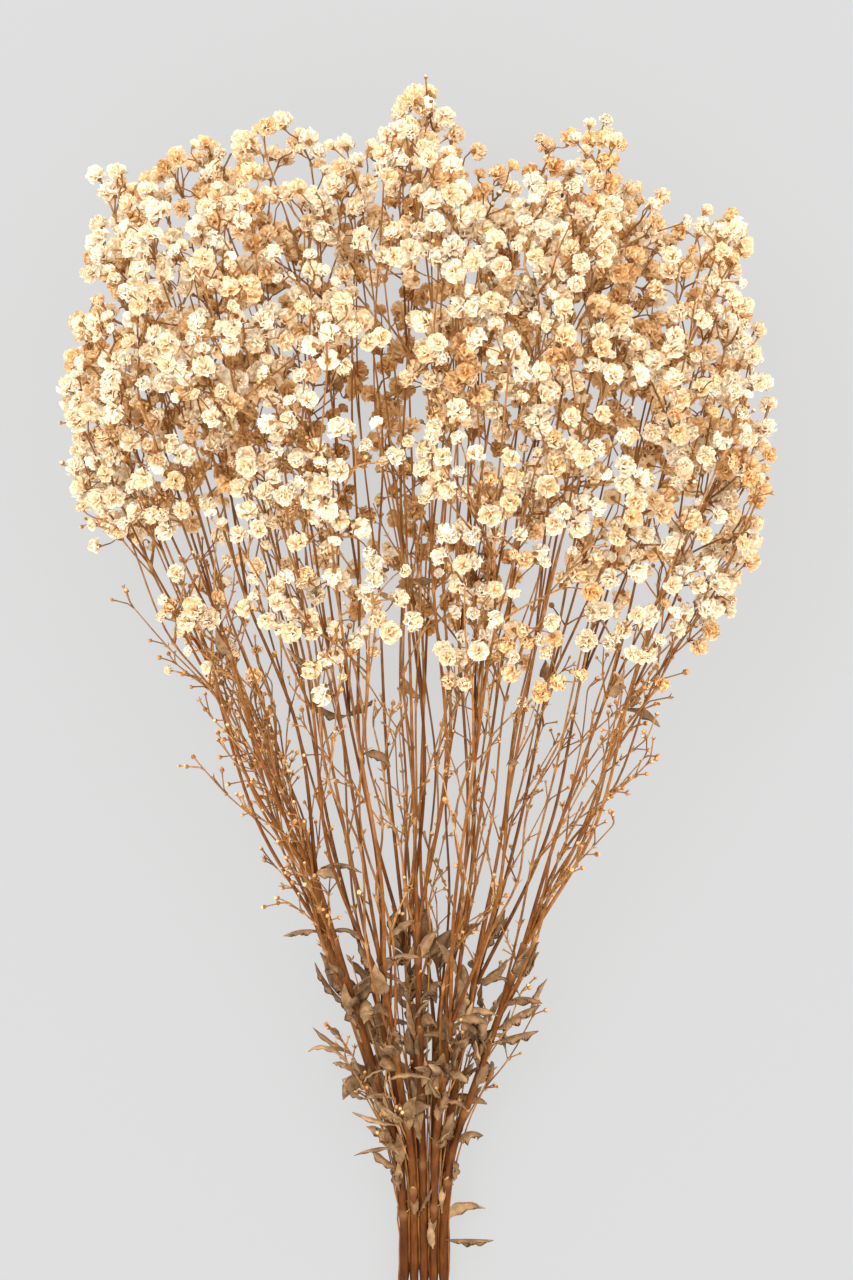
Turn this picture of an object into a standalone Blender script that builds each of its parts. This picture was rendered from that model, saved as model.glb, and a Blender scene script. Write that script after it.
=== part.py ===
"""Dried gypsophila bunch: ten stems with layered blossoms, held by a twine tie, lying on its side.

Metres, +Z up. +Y runs from the cut ends to the head. The bunch is drawn in its own coordinates first:
x across it, d through its depth and s along it, measured from the focus, the point where the straight
stems would meet if they ran on below the head. Stems keep to cells whose walls are planes through that
focus, so they never cross. Then the bunch is tilted until its underside lies along the surface.
"""

import math

import bmesh
import bpy
import numpy as np
from mathutils import Vector

MM = 0.001

# Whole bunch: the focus, half the head's depth as a slope d / s, and the tilt that lays its underside level.
# The underside would bulge further down, and is pressed flat by the surface.
FOCUS = np.array([0.0, 21.0, 5.0]) * MM
HALF_DEPTH = 0.26
UNDER_DEPTH = 0.32
TILT = math.atan(HALF_DEPTH)

# Reach of the head from the focus, for each direction x / s
REACH_SLOPES = [-0.445, -0.43, -0.385, -0.335, -0.30, -0.24, -0.13, -0.06, 0.0, 0.06, 0.16, 0.20, 0.29, 0.335,
                0.39, 0.43, 0.45]
REACH_MM = [290, 326, 358, 390, 424, 430, 446, 434, 460, 428, 446, 416, 414, 380, 345, 312, 280]
DOME = 0.30
DOME_POWER = 3.0

# Lower edge of the blossoms on the head's outside and in its middle
HEM_SLOPES = [-0.445, -0.40, -0.25, 0.0, 0.2, 0.40, 0.45]
HEM_MM = [272, 270, 242, 205, 215, 240, 245]
CORE_HEM_MM = 345

# Stems, front row then back row: row, place in the tie, the slopes x / s and d / s of its line, and the
# distance s of its first fork
STEMS = [
    (1, -2, -0.285, 0.07, 150),
    (1, -1, -0.145, 0.155, 108),
    (1, 0, -0.02, 0.08, 132),
    (1, 1, 0.115, 0.155, 92),
    (1, 2, 0.325, 0.06, 122),
    (-1, -2, -0.33, -0.10, 120),
    (-1, -1, -0.20, -0.145, 84),
    (-1, 0, -0.06, -0.075, 116),
    (-1, 1, 0.05, -0.15, 80),
    (-1, 2, 0.20, -0.075, 100),
]

# Tie and the stems' lower ends
TIE_PITCH = 3.95 * MM
ROW_HALF = 2.1 * MM
TIE_Y = -14.0 * MM
TIE_HALF_LENGTH = 4.2 * MM
TIE_THICKNESS = 1.57 * MM
TIE_VALLEY = 1.05 * MM
TIE_GAP = 0.3 * MM
TIE_TURNS = 3
TIE_CROWN = (0.28, 0.72)
TIE_NOTCH = 0.01 * MM
TIE_CORNER_STEPS = 3
CUT_END_Y = -60.0 * MM
CUT_END_STEP = 2.0 * MM
CUT_SPLAY = 1.12
BEND_ACROSS = 1.25 * MM
BEND_ROWS = 1.5 * MM
BEND_UP = 9.0 * MM
STALK_STEPS = np.array([8.0, 34.0, 62.0, 92.0]) * MM
CLEAR_OF_FORK = 20.0 * MM

# Radii of stalk, twigs and their swollen forks, by level of forking
STALK_RADIUS = 1.78 * MM
STALK_TOP_RADIUS = 1.35 * MM
TWIG_RADIUS = (1.05 * MM, 0.75 * MM, 0.6 * MM)
FORK_RADIUS = (2.3 * MM, 1.6 * MM, 0.85 * MM)
SWELL_LENGTH = 1.5
ROOT_RADIUS = 0.42 * MM
CALYX_RADIUS = 0.8 * MM
FORK_OFFSET = 0.4
SIDE_STEP = 1.8 * MM
STALK_SIDES, TWIG_SIDES, THIN_SIDES = 6, 4, 3

# Seams of the union: the share of triangles kept, and edges shorter than this are merged
KEPT_TRIANGLES = 0.72
SHORTEST_EDGE = 0.03 * MM

# Blossoms, larger than life: each stands for a little cluster of real ones
BLOOM_COUNT = 256
BLOOM_RADIUS = 7.4 * MM
BLOOM_SPREAD = 0.8 * MM
BLOOM_SPACING = 15.0 * MM
REST_SHARE = 0.74
DEPTH_WEIGHT = 0.6
OUTER_SHARE = 0.72
OUTER_DEPTH = 0.10
FACE_OUT = 0.8

# One blossom, in shares of its radius: height and spread of the lower petals' tips and of the notches
# between them, of the upper petals' tips, of the heart, and how far below its middle the calyx sits
PETALS = 5
LOWER_TIP = (-0.2, 1.0)
NOTCH = (0.02, 0.6)
UPPER_TIP = (0.5, 0.8)
HEART = 0.38
NECK = 0.62
RUFFLE = 0.12
DROOP = 1.5

# Forks: share of the way to its blossoms at which each twig forks, the most blossoms that share their last
# fork, the fewest that make a fork part in three, and how far a twig bows outwards
FORK_SHARE = (0.5, 0.52, 0.55)
FEW = 3
MANY = 8
SPLIT_ROUNDS = 12
BOW = 0.07
STRAIGHT = 0.05
CLEAR = 0.4 * MM

# Leaves at the lower nodes
LEAF_COUNT = 38
LEAF_LENGTH = 18.5 * MM
LEAF_HALF_WIDTH = 3.3 * MM
LEAF_WIDTHS = (0.2, 0.9, 1.0, 0.6)
LEAF_HALF_THICKNESS = 0.4 * MM
LEAF_FOLD = 0.35
LEAF_SAMPLES = 9
LEAF_TRIES = 60
LEAF_APART = 2.6 * MM
LEAF_SIZES = (0.7, 1.25)
LEAF_ANGLES = (0.6, 1.5)
LEAF_CURLS = (-0.8, 2.2)
LEAF_FOOT = 0.7

# Dry buds on side twigs
BUD_COUNT = 26
BUD_RADIUS = 1.5 * MM
BUD_STALK = 14.0 * MM
BUD_APART = 9.0 * MM
BUD_SIZES = (0.8, 1.3)
BUD_ANGLES = (0.5, 1.0)
BUD_TIP = 1.5
BUD_STEMS = (0, 5, 4, 9, 1, 6, 3)

BLOOM_SEED, LEAF_SEED, BUD_SEED, PETAL_SEED = 7, 21, 33, 300

STALK_COLOUR = (0.42, 0.21, 0.08)
LEAF_COLOUR = (0.30, 0.20, 0.12)
BLOSSOM_COLOUR = (0.86, 0.74, 0.55)
TWINE_COLOUR = (0.55, 0.42, 0.26)
STALK, LEAF, BLOSSOM = 0, 1, 2

# The bunch's own coordinates

ACROSS = np.array([1.0, 0.0, 0.0])
DEPTH = np.array([0.0, -math.sin(TILT), math.cos(TILT)])
AXIS = np.array([0.0, math.cos(TILT), math.sin(TILT)])
BUNCH_AXES = np.array([ACROSS, DEPTH, AXIS])
CELLS = np.array([[stem[2], stem[3]] for stem in STEMS])
TIE_HEIGHT = ROW_HALF + STALK_RADIUS + TIE_GAP + TIE_THICKNESS


def to_world(point):
    return FOCUS + np.asarray(point) @ BUNCH_AXES


def to_bunch(point):
    return BUNCH_AXES @ (np.asarray(point) - FOCUS)


def unit(vector):
    return vector / np.linalg.norm(vector)


def wall_distance(point, cell):
    """Distance from a point (x, d, s) to the nearest wall of a stem's cell, negative outside it."""
    nearest = math.inf
    for other in range(len(CELLS)):
        if other != cell:
            normal = unit(CELLS[other] - CELLS[cell])
            offset = normal @ (CELLS[other] + CELLS[cell]) / 2
            inside = (offset * point[2] - normal @ point[:2]) / math.hypot(1, offset)
            nearest = min(nearest, inside)
    return nearest


def cell_of(point):
    return int(np.argmin(np.linalg.norm(CELLS - point[:2] / point[2], axis=1)))


# The head's outline

def roundness(slope_x, slope_d):
    """0 in the middle of the head, 1 on its outside."""
    edge = REACH_SLOPES[-1] if slope_x > 0 else REACH_SLOPES[0]
    depth = HALF_DEPTH if slope_d > 0 else UNDER_DEPTH
    return math.hypot(slope_x / edge, slope_d / depth)


def reach(slope_x, slope_d):
    longest = np.interp(slope_x, REACH_SLOPES, REACH_MM) * MM
    depth = HALF_DEPTH if slope_d > 0 else UNDER_DEPTH
    return longest * (1 - DOME * abs(slope_d / depth) ** DOME_POWER)


def hem(slope_x, slope_d):
    outside = np.interp(slope_x, HEM_SLOPES, HEM_MM) * MM
    inwards = max(0.0, 1 - roundness(slope_x, slope_d) ** 2)
    return outside + inwards * (CORE_HEM_MM * MM - outside)


def random_place(rng):
    """A random place for a blossom inside the head, most often near its outside."""
    while True:
        slope_x = rng.uniform(REACH_SLOPES[0], REACH_SLOPES[-1])
        slope_d = rng.uniform(-UNDER_DEPTH, HALF_DEPTH)
        around = roundness(slope_x, slope_d)
        top = reach(slope_x, slope_d)
        bottom = hem(slope_x, slope_d)
        if around > 1 or bottom >= top:
            continue
        s = (bottom ** 3 + rng.uniform() * (top ** 3 - bottom ** 3)) ** (1 / 3)
        outer = s > top * (1 - OUTER_DEPTH) or around > 1 - OUTER_DEPTH * 2
        if outer or rng.uniform() > OUTER_SHARE:
            return np.array([slope_x * s, slope_d * s, s])


def raised(point, radius):
    """The place lifted just enough for a blossom of that radius to lie on the surface."""
    low = REST_SHARE * radius - to_world(point)[2]
    return point + np.array([0.0, max(0.0, low) / DEPTH[2], 0.0])


def blossom_places():
    """For each stem, the places and radii of its blossoms, scattered evenly and clear of the cell walls."""
    rng = np.random.default_rng(BLOOM_SEED)
    own = [[] for _ in STEMS]
    taken = np.full((1, 3), math.inf)
    weights = np.array([1.0, DEPTH_WEIGHT, 1.0])
    while len(taken) <= BLOOM_COUNT:
        radius = BLOOM_RADIUS + rng.uniform(-1, 1) * BLOOM_SPREAD
        point = raised(random_place(rng), radius)
        cell = cell_of(point)
        crowded = np.linalg.norm((taken - point) * weights, axis=1).min() < BLOOM_SPACING
        if not crowded and wall_distance(point, cell) > radius + CLEAR:
            own[cell].append((point, radius))
            taken = np.vstack([taken, point])
    return own


# Stalks

def soft_rise(amount, bend):
    """Follows amount where it is well above zero, and levels off smoothly to zero below it."""
    return (amount + math.hypot(amount, bend)) / 2


def stalk_point(index, s):
    """Centre of one stem's stalk at distance s, in world coordinates: tied below, on its own line above."""
    row, place, slope_x, slope_d, _ = STEMS[index]
    middle = to_world(np.array([0.0, 0.0, s]))
    tie_x = abs(place) * TIE_PITCH
    out = tie_x + soft_rise(abs(slope_x) * s - tie_x, BEND_ACROSS * abs(place))
    lift = TIE_HEIGHT + soft_rise(middle[2] - TIE_HEIGHT, BEND_UP)
    apart = ROW_HALF + soft_rise(abs(slope_d) * s * DEPTH[2] - ROW_HALF, BEND_ROWS)
    return np.array([math.copysign(out, slope_x), middle[1] + slope_d * s * DEPTH[1], lift + row * apart])


def stalk_line(index):
    """Centre line of one stem's stalk, from its cut end to its first fork."""
    row, place, _, _, fork_mm = STEMS[index]
    height = TIE_HEIGHT + row * ROW_HALF
    cut_y = CUT_END_Y + CUT_END_STEP * math.sin(2.4 * index)
    line = [np.array([place * TIE_PITCH * CUT_SPLAY, cut_y, height])]
    for side in (-1, 1):
        line.append(np.array([place * TIE_PITCH, TIE_Y + side * (TIE_HALF_LENGTH + TIE_GAP), height]))
    line += [stalk_point(index, s) for s in STALK_STEPS if s < fork_mm * MM - CLEAR_OF_FORK]
    line.append(stalk_point(index, fork_mm * MM))
    return line


# Branching

def split(points, fork, groups):
    """Sorts points into groups by their direction from the fork."""
    ways = np.array([unit(point - fork) for point in points])
    centres = [ways[np.argmax(np.linalg.norm(ways - ways.mean(axis=0), axis=1))]]
    while len(centres) < groups:
        apart = np.min([np.linalg.norm(ways - centre, axis=1) for centre in centres], axis=0)
        centres.append(ways[np.argmax(apart)])
    for _ in range(SPLIT_ROUNDS):
        nearest = np.argmin([np.linalg.norm(ways - centre, axis=1) for centre in centres], axis=0)
        centres = [ways[nearest == g].mean(axis=0) if (nearest == g).any() else centres[g]
                   for g in range(groups)]
    return [np.flatnonzero(nearest == g) for g in range(groups) if (nearest == g).any()]


def bowed_middle(start, end, heading, cell):
    """Middle point of a twig that leaves its fork wide and curves back up."""
    along = end - start
    length = np.linalg.norm(along)
    sideways = along - heading * (along @ heading)
    middle = (start + end) / 2
    if np.linalg.norm(sideways) < STRAIGHT * length:
        return middle
    room = wall_distance(middle, cell) - TWIG_RADIUS[0] - CLEAR
    height = to_world(middle)[2] - TWIG_RADIUS[0] - CLEAR
    return middle + unit(sideways) * max(0.0, min(BOW * length, room, height))


def side_root(fork, heading, aim, level, number):
    """Where a side branch starts, sunk in the fork: beside its middle, or a step below it on a thin twig."""
    if level == 2:
        return fork - heading * SIDE_STEP * number
    way = unit(aim - fork)
    return fork + unit(way - heading * (way @ heading)) * FORK_OFFSET * FORK_RADIUS[level]


def grow(stem, cell, route, blossoms, level):
    """Takes a branch on from the fork at its end to its blossoms, and starts the side branches there.

    A route is a list of (point, radius). The group of blossoms straightest ahead goes on along the route.
    """
    fork = route[-1][0]
    heading = unit(fork - route[-2][0])
    stem["forks"].append((fork, heading, level))
    points = np.array([place for place, _ in blossoms])
    if len(blossoms) <= FEW:
        groups = [[m] for m in range(len(blossoms))]
    else:
        groups = split(points, fork, 3 if len(blossoms) >= MANY else 2)
    aims = [points[members].mean(axis=0) for members in groups]
    order = sorted(range(len(groups)), key=lambda g: -(unit(aims[g] - fork) @ heading))
    for number, g in enumerate(order):
        chosen = [blossoms[m] for m in groups[g]]
        if number == 0 and level > 0:
            branch = list(route)
        else:
            start = side_root(fork, heading, aims[g], level, number)
            branch = [(start, ROOT_RADIUS if len(chosen) == 1 else TWIG_RADIUS[level])]
        if len(chosen) == 1:
            stem["branches"].append((branch, *chosen[0]))
            continue
        child = fork + FORK_SHARE[level] * (aims[g] - fork)
        below = min(level + 1, 2)
        if level == 0:
            branch.append((bowed_middle(fork, child, heading, cell), TWIG_RADIUS[0]))
        way = unit(child - branch[-1][0])
        if below == 1:
            branch.append((child - way * FORK_RADIUS[1] * SWELL_LENGTH, TWIG_RADIUS[1]))
        branch.append((child, FORK_RADIUS[below]))
        grow(stem, cell, branch, chosen, below)


# Leaves and buds

def rotated(vector, axis, angle):
    return (vector * math.cos(angle) + np.cross(axis, vector) * math.sin(angle)
            + axis * (axis @ vector) * (1 - math.cos(angle)))


def across(heading, angle):
    """A direction square to the heading, turned round it by an angle."""
    side = unit(np.cross(heading, [0.0, 0.0, 1.0]))
    return rotated(side, heading, angle)


def gaps_to(points, starts, ends):
    """Distance from each point to each straight piece."""
    along = ends - starts
    offsets = points[:, None, :] - starts[None]
    share = np.clip((offsets * along).sum(axis=2) / (along * along).sum(axis=1), 0, 1)
    return np.linalg.norm(offsets - share[:, :, None] * along, axis=2)


def straight_pieces(stems):
    """Every stalk and twig as straight pieces in world coordinates, with its radius and its stem."""
    starts, ends, radii, owners = [], [], [], []
    for owner, stem in enumerate(stems):
        routes = [(stem["stalk"], STALK_RADIUS)]
        routes += [([to_world(p) for p, _ in route], TWIG_RADIUS[0]) for route, _, _ in stem["branches"]]
        for route, radius in routes:
            starts += route[:-1]
            ends += route[1:]
            radii += [radius] * (len(route) - 1)
            owners += [owner] * (len(route) - 1)
    return np.array(starts), np.array(ends), np.array(radii), np.array(owners)


def leaf_samples(spine, side):
    """Points spread over a leaf, to test what it would touch."""
    steps = np.linspace(0.5, len(spine) - 1, LEAF_SAMPLES)
    middles = np.array([[np.interp(t, range(len(spine)), [p[axis] for p in spine]) for axis in range(3)]
                        for t in steps])
    offsets = np.linspace(-1, 1, 5) * LEAF_HALF_WIDTH
    return (middles[:, None, :] + offsets[None, :, None] * side).reshape(-1, 3)


def leaf_feet(stem):
    """Where a stem may carry leaves, as (point, heading): three nodes up its stalk, and its lower forks."""
    line = stem["stalk"]
    feet = []
    for low, high in zip(line[2:], line[3:]):
        feet.append((low + LEAF_FOOT * (high - low), unit(high - low)))
    for place, heading, level in stem["forks"]:
        if level < 2:
            feet.append((to_world(place), heading @ BUNCH_AXES))
    return feet


def random_spine(rng, foot, heading):
    """Midrib of a dry leaf that leaves its node sideways and curls, and the direction across it."""
    way = rotated(heading, across(heading, rng.uniform(0, math.tau)), rng.uniform(*LEAF_ANGLES))
    side = unit(np.cross(heading, way))
    curl = rng.uniform(*LEAF_CURLS)
    length = LEAF_LENGTH * rng.uniform(*LEAF_SIZES)
    spine = [foot]
    for _ in LEAF_WIDTHS:
        spine.append(spine[-1] + way * length / len(LEAF_WIDTHS))
        way = rotated(way, side, curl / len(LEAF_WIDTHS))
    return spine, side


def add_leaves(stems):
    """Gives the stems their leaves, each clear of every other stem and of the surface."""
    rng = np.random.default_rng(LEAF_SEED)
    starts, ends, radii, owners = straight_pieces(stems)
    taken = [np.empty((0, 3)) for _ in stems]
    for number in range(LEAF_COUNT):
        owner = number % len(stems)
        feet = leaf_feet(stems[owner])
        others = owners != owner
        near = np.vstack([taken[k] for k in range(len(stems)) if k != owner])
        for _ in range(LEAF_TRIES):
            foot, heading = feet[rng.integers(len(feet))]
            spine, side = random_spine(rng, foot, heading)
            samples = leaf_samples(spine, side)
            room = (gaps_to(samples, starts[others], ends[others]) - radii[others]).min()
            apart = np.linalg.norm(samples[:, None] - near[None], axis=2).min() if len(near) else math.inf
            high_enough = samples[:, 2].min() > 2 * LEAF_HALF_THICKNESS
            past_tie = samples[:, 1].min() > TIE_Y + TIE_HALF_LENGTH + LEAF_APART
            if room > LEAF_HALF_THICKNESS * 2 + CLEAR and apart > LEAF_APART and high_enough and past_tie:
                stems[owner]["leaves"].append((spine, side))
                taken[owner] = np.vstack([taken[owner], samples])
                break


def add_buds(stems):
    """Gives the outer stems side twigs that end in a dry bud, inside their own cells."""
    rng = np.random.default_rng(BUD_SEED)
    placed = 0
    while placed < BUD_COUNT:
        owner = BUD_STEMS[rng.integers(len(BUD_STEMS))]
        stem = stems[owner]
        route = stem["branches"][rng.integers(len(stem["branches"]))][0]
        if len(route) < 2:
            continue
        piece = rng.integers(len(route) - 1)
        start, end = route[piece][0], route[piece + 1][0]
        foot = (start + end) / 2
        heading = unit(end - start)
        way = rotated(heading, across(heading, rng.uniform(0, math.tau)), rng.uniform(*BUD_ANGLES))
        bud = foot + way * BUD_STALK * rng.uniform(*BUD_SIZES)
        to_blooms = min(np.linalg.norm(place - bud) for _, place, _ in stem["branches"])
        inside = min(wall_distance(bud, owner), wall_distance((foot + bud) / 2, owner))
        if inside > BUD_RADIUS + CLEAR and to_world(bud)[2] > 2 * BUD_RADIUS and to_blooms > BUD_APART:
            stem["buds"].append((foot, bud))
            placed += 1


def grown_stems():
    """Every stem as points: stalk and leaves in world coordinates, the rest in the bunch's."""
    stems = []
    for index, blossoms in enumerate(blossom_places()):
        line = stalk_line(index)
        stem = {"stalk": line, "forks": [], "branches": [], "buds": [], "leaves": []}
        grow(stem, index, [(to_bunch(point), STALK_RADIUS) for point in line[-2:]], blossoms, 0)
        stems.append(stem)
    add_leaves(stems)
    add_buds(stems)
    return stems


# Solids

def material(name, colour):
    made = bpy.data.materials.new(name)
    made.use_nodes = True
    shader = made.node_tree.nodes["Principled BSDF"]
    shader.inputs["Base Color"].default_value = (*colour, 1.0)
    shader.inputs["Roughness"].default_value = 0.8
    shader.inputs["Metallic"].default_value = 0.0
    return made


def new_object(name, bm, materials, index=STALK):
    """An object from a bmesh whose faces without a material of their own take the given one."""
    bmesh.ops.recalc_face_normals(bm, faces=bm.faces)
    mesh = bpy.data.meshes.new(name)
    bm.to_mesh(mesh)
    bm.free()
    for one in materials:
        mesh.materials.append(one)
    for face in mesh.polygons:
        face.material_index = max(face.material_index, index)
    obj = bpy.data.objects.new(name, mesh)
    bpy.context.scene.collection.objects.link(obj)
    return obj


def square_to(direction, side):
    return (side - direction * side.dot(direction)).normalized()


def around(centre, direction, side, radius, angle):
    """Point beside a line, turned by an angle from the side direction."""
    return centre + (side * math.cos(angle) + direction.cross(side) * math.sin(angle)) * radius


def tube(bm, route, sides):
    """Skin of a polygonal tube along a route, closed at its root. Returns its last ring and its side."""
    points = [Vector(point) for point, _ in route]
    side = Vector((0.0, 0.0, 1.0))
    last = None
    for i, (_, radius) in enumerate(route):
        direction = (points[min(i + 1, len(points) - 1)] - points[max(i - 1, 0)]).normalized()
        side = square_to(direction, side)
        corners = [around(points[i], direction, side, radius, math.tau * k / sides) for k in range(sides)]
        row = [bm.verts.new(corner) for corner in corners]
        if last is None:
            bm.faces.new(row)
        else:
            for k in range(sides):
                after = (k + 1) % sides
                bm.faces.new((last[k], last[after], row[after]))
                bm.faces.new((last[k], row[after], row[k]))
        last = row
    return last, side


def world_route(route):
    return [(to_world(point), radius) for point, radius in route]


def branch_solid(route, place, facing, radius, sides, rng, materials):
    """Branch and blossom in one: five spread petals, five more turned and raised above them, a low heart."""
    place = Vector(place)
    facing = Vector(facing)
    bm = bmesh.new()
    neck = place - facing * radius * NECK
    calyx, side = tube(bm, route + [(neck, CALYX_RADIUS)], sides)
    side = square_to(facing, side)
    turns = PETALS * 2
    spin = rng.uniform(0, math.tau)
    angles = [spin + math.pi * k / PETALS for k in range(turns)]

    def petal_point(height, spread, angle):
        return bm.verts.new(around(place + facing * height * radius, facing, side, spread * radius, angle))

    rim = []
    upper = []
    for k, angle in enumerate(angles):
        ruffle = rng.uniform(-RUFFLE, RUFFLE)
        if k % 2 == 0:
            rim.append(petal_point(LOWER_TIP[0] + DROOP * ruffle, LOWER_TIP[1] + ruffle, angle))
        else:
            rim.append(petal_point(*NOTCH, angle))
            upper.append(petal_point(UPPER_TIP[0] + ruffle, UPPER_TIP[1] + ruffle, angle))
    heart = bm.verts.new(place + facing * radius * HEART)
    under = [round(angle * sides / math.tau) % sides for angle in angles]
    petals = []
    for k in range(turns):
        after = (k + 1) % turns
        petals.append((rim[k], rim[after], calyx[under[k]]))
        if under[k] != under[after]:
            petals.append((rim[after], calyx[under[after]], calyx[under[k]]))
    for k in range(PETALS):
        tip, valley, after = rim[2 * k], rim[2 * k + 1], rim[(2 * k + 2) % turns]
        petals += [(tip, valley, upper[k]), (valley, after, upper[k])]
        petals += [(tip, upper[k], upper[k - 1]), (upper[k - 1], upper[k], heart)]
    for corners in petals:
        bm.faces.new(corners).material_index = BLOSSOM
    return new_object("branch", bm, materials)


def stalk_solid(line, materials):
    """Stalk from its cut end to its swollen first fork."""
    radii = np.linspace(STALK_RADIUS, STALK_TOP_RADIUS, len(line))
    route = list(zip(line, radii))
    way = unit(line[-1] - line[-2])
    swell = FORK_RADIUS[0] * SWELL_LENGTH
    route[-1] = (line[-1] - way * swell, STALK_TOP_RADIUS)
    route += [(line[-1], FORK_RADIUS[0]), (line[-1] + way * swell / 2, FORK_RADIUS[0] / 2)]
    bm = bmesh.new()
    top, _ = tube(bm, route, STALK_SIDES)
    bm.faces.new(top)
    return new_object("stalk", bm, materials)


def bud_solid(foot, bud, materials):
    """Side twig and dry bud in one."""
    heading = unit(bud - foot)
    route = [(foot, ROOT_RADIUS), (bud - heading * BUD_RADIUS, ROOT_RADIUS), (bud, BUD_RADIUS)]
    bm = bmesh.new()
    top, _ = tube(bm, route, THIN_SIDES)
    tip = bm.verts.new(bud + heading * BUD_RADIUS * BUD_TIP)
    for k in range(THIN_SIDES):
        bm.faces.new((top[k], top[(k + 1) % THIN_SIDES], tip))
    return new_object("bud", bm, materials)


def leaf_solid(spine, side, materials):
    """Lance-shaped leaf with a keeled midrib, folded up along both edges and split alike on both faces."""
    bm = bmesh.new()
    rows = []
    for k, share in enumerate(LEAF_WIDTHS):
        normal = unit(np.cross(side, spine[k + 1] - spine[k]))
        half = side * LEAF_HALF_WIDTH * share
        edge = normal * LEAF_HALF_WIDTH * share * LEAF_FOLD
        keel = normal * LEAF_HALF_THICKNESS
        corners = (spine[k] - half + edge, spine[k] + keel, spine[k] + half + edge, spine[k] - keel)
        rows.append([bm.verts.new(c) for c in corners])
    tip = bm.verts.new(spine[-1])
    left, top, right, under = range(4)
    for low, high in zip(rows, rows[1:]):
        for middle in (top, under):
            for edge in (left, right):
                bm.faces.new((low[edge], low[middle], high[middle]))
                bm.faces.new((low[edge], high[middle], high[edge]))
    for middle in (top, under):
        for edge in (left, right):
            bm.faces.new((rows[-1][edge], rows[-1][middle], tip))
    bm.faces.new(rows[0])
    return new_object("leaf", bm, materials, LEAF)


def joined(name, body, pieces):
    """One solid: the body united with every piece."""
    collection = bpy.data.collections.new(name + "_pieces")
    bpy.context.scene.collection.children.link(collection)
    for piece in pieces:
        bpy.context.scene.collection.objects.unlink(piece)
        collection.objects.link(piece)
    join = body.modifiers.new("join", "BOOLEAN")
    join.operation = "UNION"
    join.operand_type = "COLLECTION"
    join.collection = collection
    join.solver = "MANIFOLD"
    apply_modifiers(body)
    for piece in pieces:
        bpy.data.objects.remove(piece)
    bpy.data.collections.remove(collection)
    body.name = name
    return body


def apply_modifiers(obj):
    graph = bpy.context.evaluated_depsgraph_get()
    mesh = bpy.data.meshes.new_from_object(obj.evaluated_get(graph))
    obj.modifiers.clear()
    obj.data = mesh


def split_faces(bm):
    """Splits every face into triangles, with no diagonal that two faces of the solid would share."""
    origin = bm.faces.layers.int.new("origin")
    for number, face in enumerate(bm.faces):
        face[origin] = number
    bmesh.ops.triangulate(bm, faces=bm.faces)
    for edge in [edge for edge in bm.edges if len(edge.link_faces) > 2]:
        first = edge.link_faces[0]
        pair = [face for face in edge.link_faces if face[origin] == first[origin]]
        a, b = edge.verts
        c, d = [next(v for v in face.verts if v not in (a, b)) for face in pair]
        if (d.co - c.co).cross(a.co - c.co).dot((b.co - c.co).cross(d.co - c.co)) <= 0:
            pair = [face for face in edge.link_faces if face not in pair]
            c, d = [next(v for v in face.verts if v not in (a, b)) for face in pair]
        normal = pair[0].normal.copy()
        slot = pair[0].material_index
        bmesh.ops.delete(bm, geom=pair, context="FACES_ONLY")
        for corners in ((a, d, c), (d, b, c)):
            face = bm.faces.new(corners)
            face.material_index = slot
            face.normal_update()
            if face.normal.dot(normal) < 0:
                face.normal_flip()


def merge_short_edges(bm):
    """Merges the ends of the shortest edges, wherever the skin stays closed."""
    for edge in list(bm.edges):
        if edge.is_valid and edge.calc_length() < SHORTEST_EDGE:
            a, b = edge.verts
            shared = {e.other_vert(a) for e in a.link_edges} & {e.other_vert(b) for e in b.link_edges}
            if len(shared) == 2:
                bmesh.ops.pointmerge(bm, verts=[a, b], merge_co=a.co)


def thinned(obj):
    """Drops loose scraps, and merges the slivers that the union leaves round its seams, not the petals."""
    bm = bmesh.new()
    bm.from_mesh(obj.data)
    split_faces(bm)
    kept = {max(bm.verts, key=lambda vertex: vertex.co.y)}
    front = list(kept)
    while front:
        linked = {edge.other_vert(vertex) for vertex in front for edge in vertex.link_edges}
        front = list(linked - kept)
        kept |= linked
    bmesh.ops.delete(bm, geom=[vertex for vertex in bm.verts if vertex not in kept], context="VERTS")
    merge_short_edges(bm)
    bm.to_mesh(obj.data)
    bm.free()
    petals = {v for face in obj.data.polygons if face.material_index == BLOSSOM for v in face.vertices}
    woody = obj.vertex_groups.new(name="woody")
    woody.add([v for v in range(len(obj.data.vertices)) if v not in petals], 1.0, "REPLACE")
    thin = obj.modifiers.new("thin", "DECIMATE")
    thin.ratio = KEPT_TRIANGLES
    thin.vertex_group = woody.name
    apply_modifiers(obj)
    obj.vertex_groups.clear()


def pressed_flat(obj, materials):
    """Cuts off what would reach below the surface, so that the lowest blossoms lie on small flat spots."""
    bm = bmesh.new()
    bmesh.ops.create_cube(bm, size=1.0)
    below = new_object("below", bm, materials)
    below.location = (0.0, 0.0, -0.5)
    cut = obj.modifiers.new("press", "BOOLEAN")
    cut.operation = "DIFFERENCE"
    cut.solver = "MANIFOLD"
    cut.object = below
    apply_modifiers(obj)
    bpy.data.objects.remove(below)


def outward(place):
    """Direction out of the head's side at a place (x, d, s)."""
    return unit(np.array([place[0] / REACH_SLOPES[-1] ** 2, place[1] / HALF_DEPTH ** 2, 0.0]))


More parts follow.
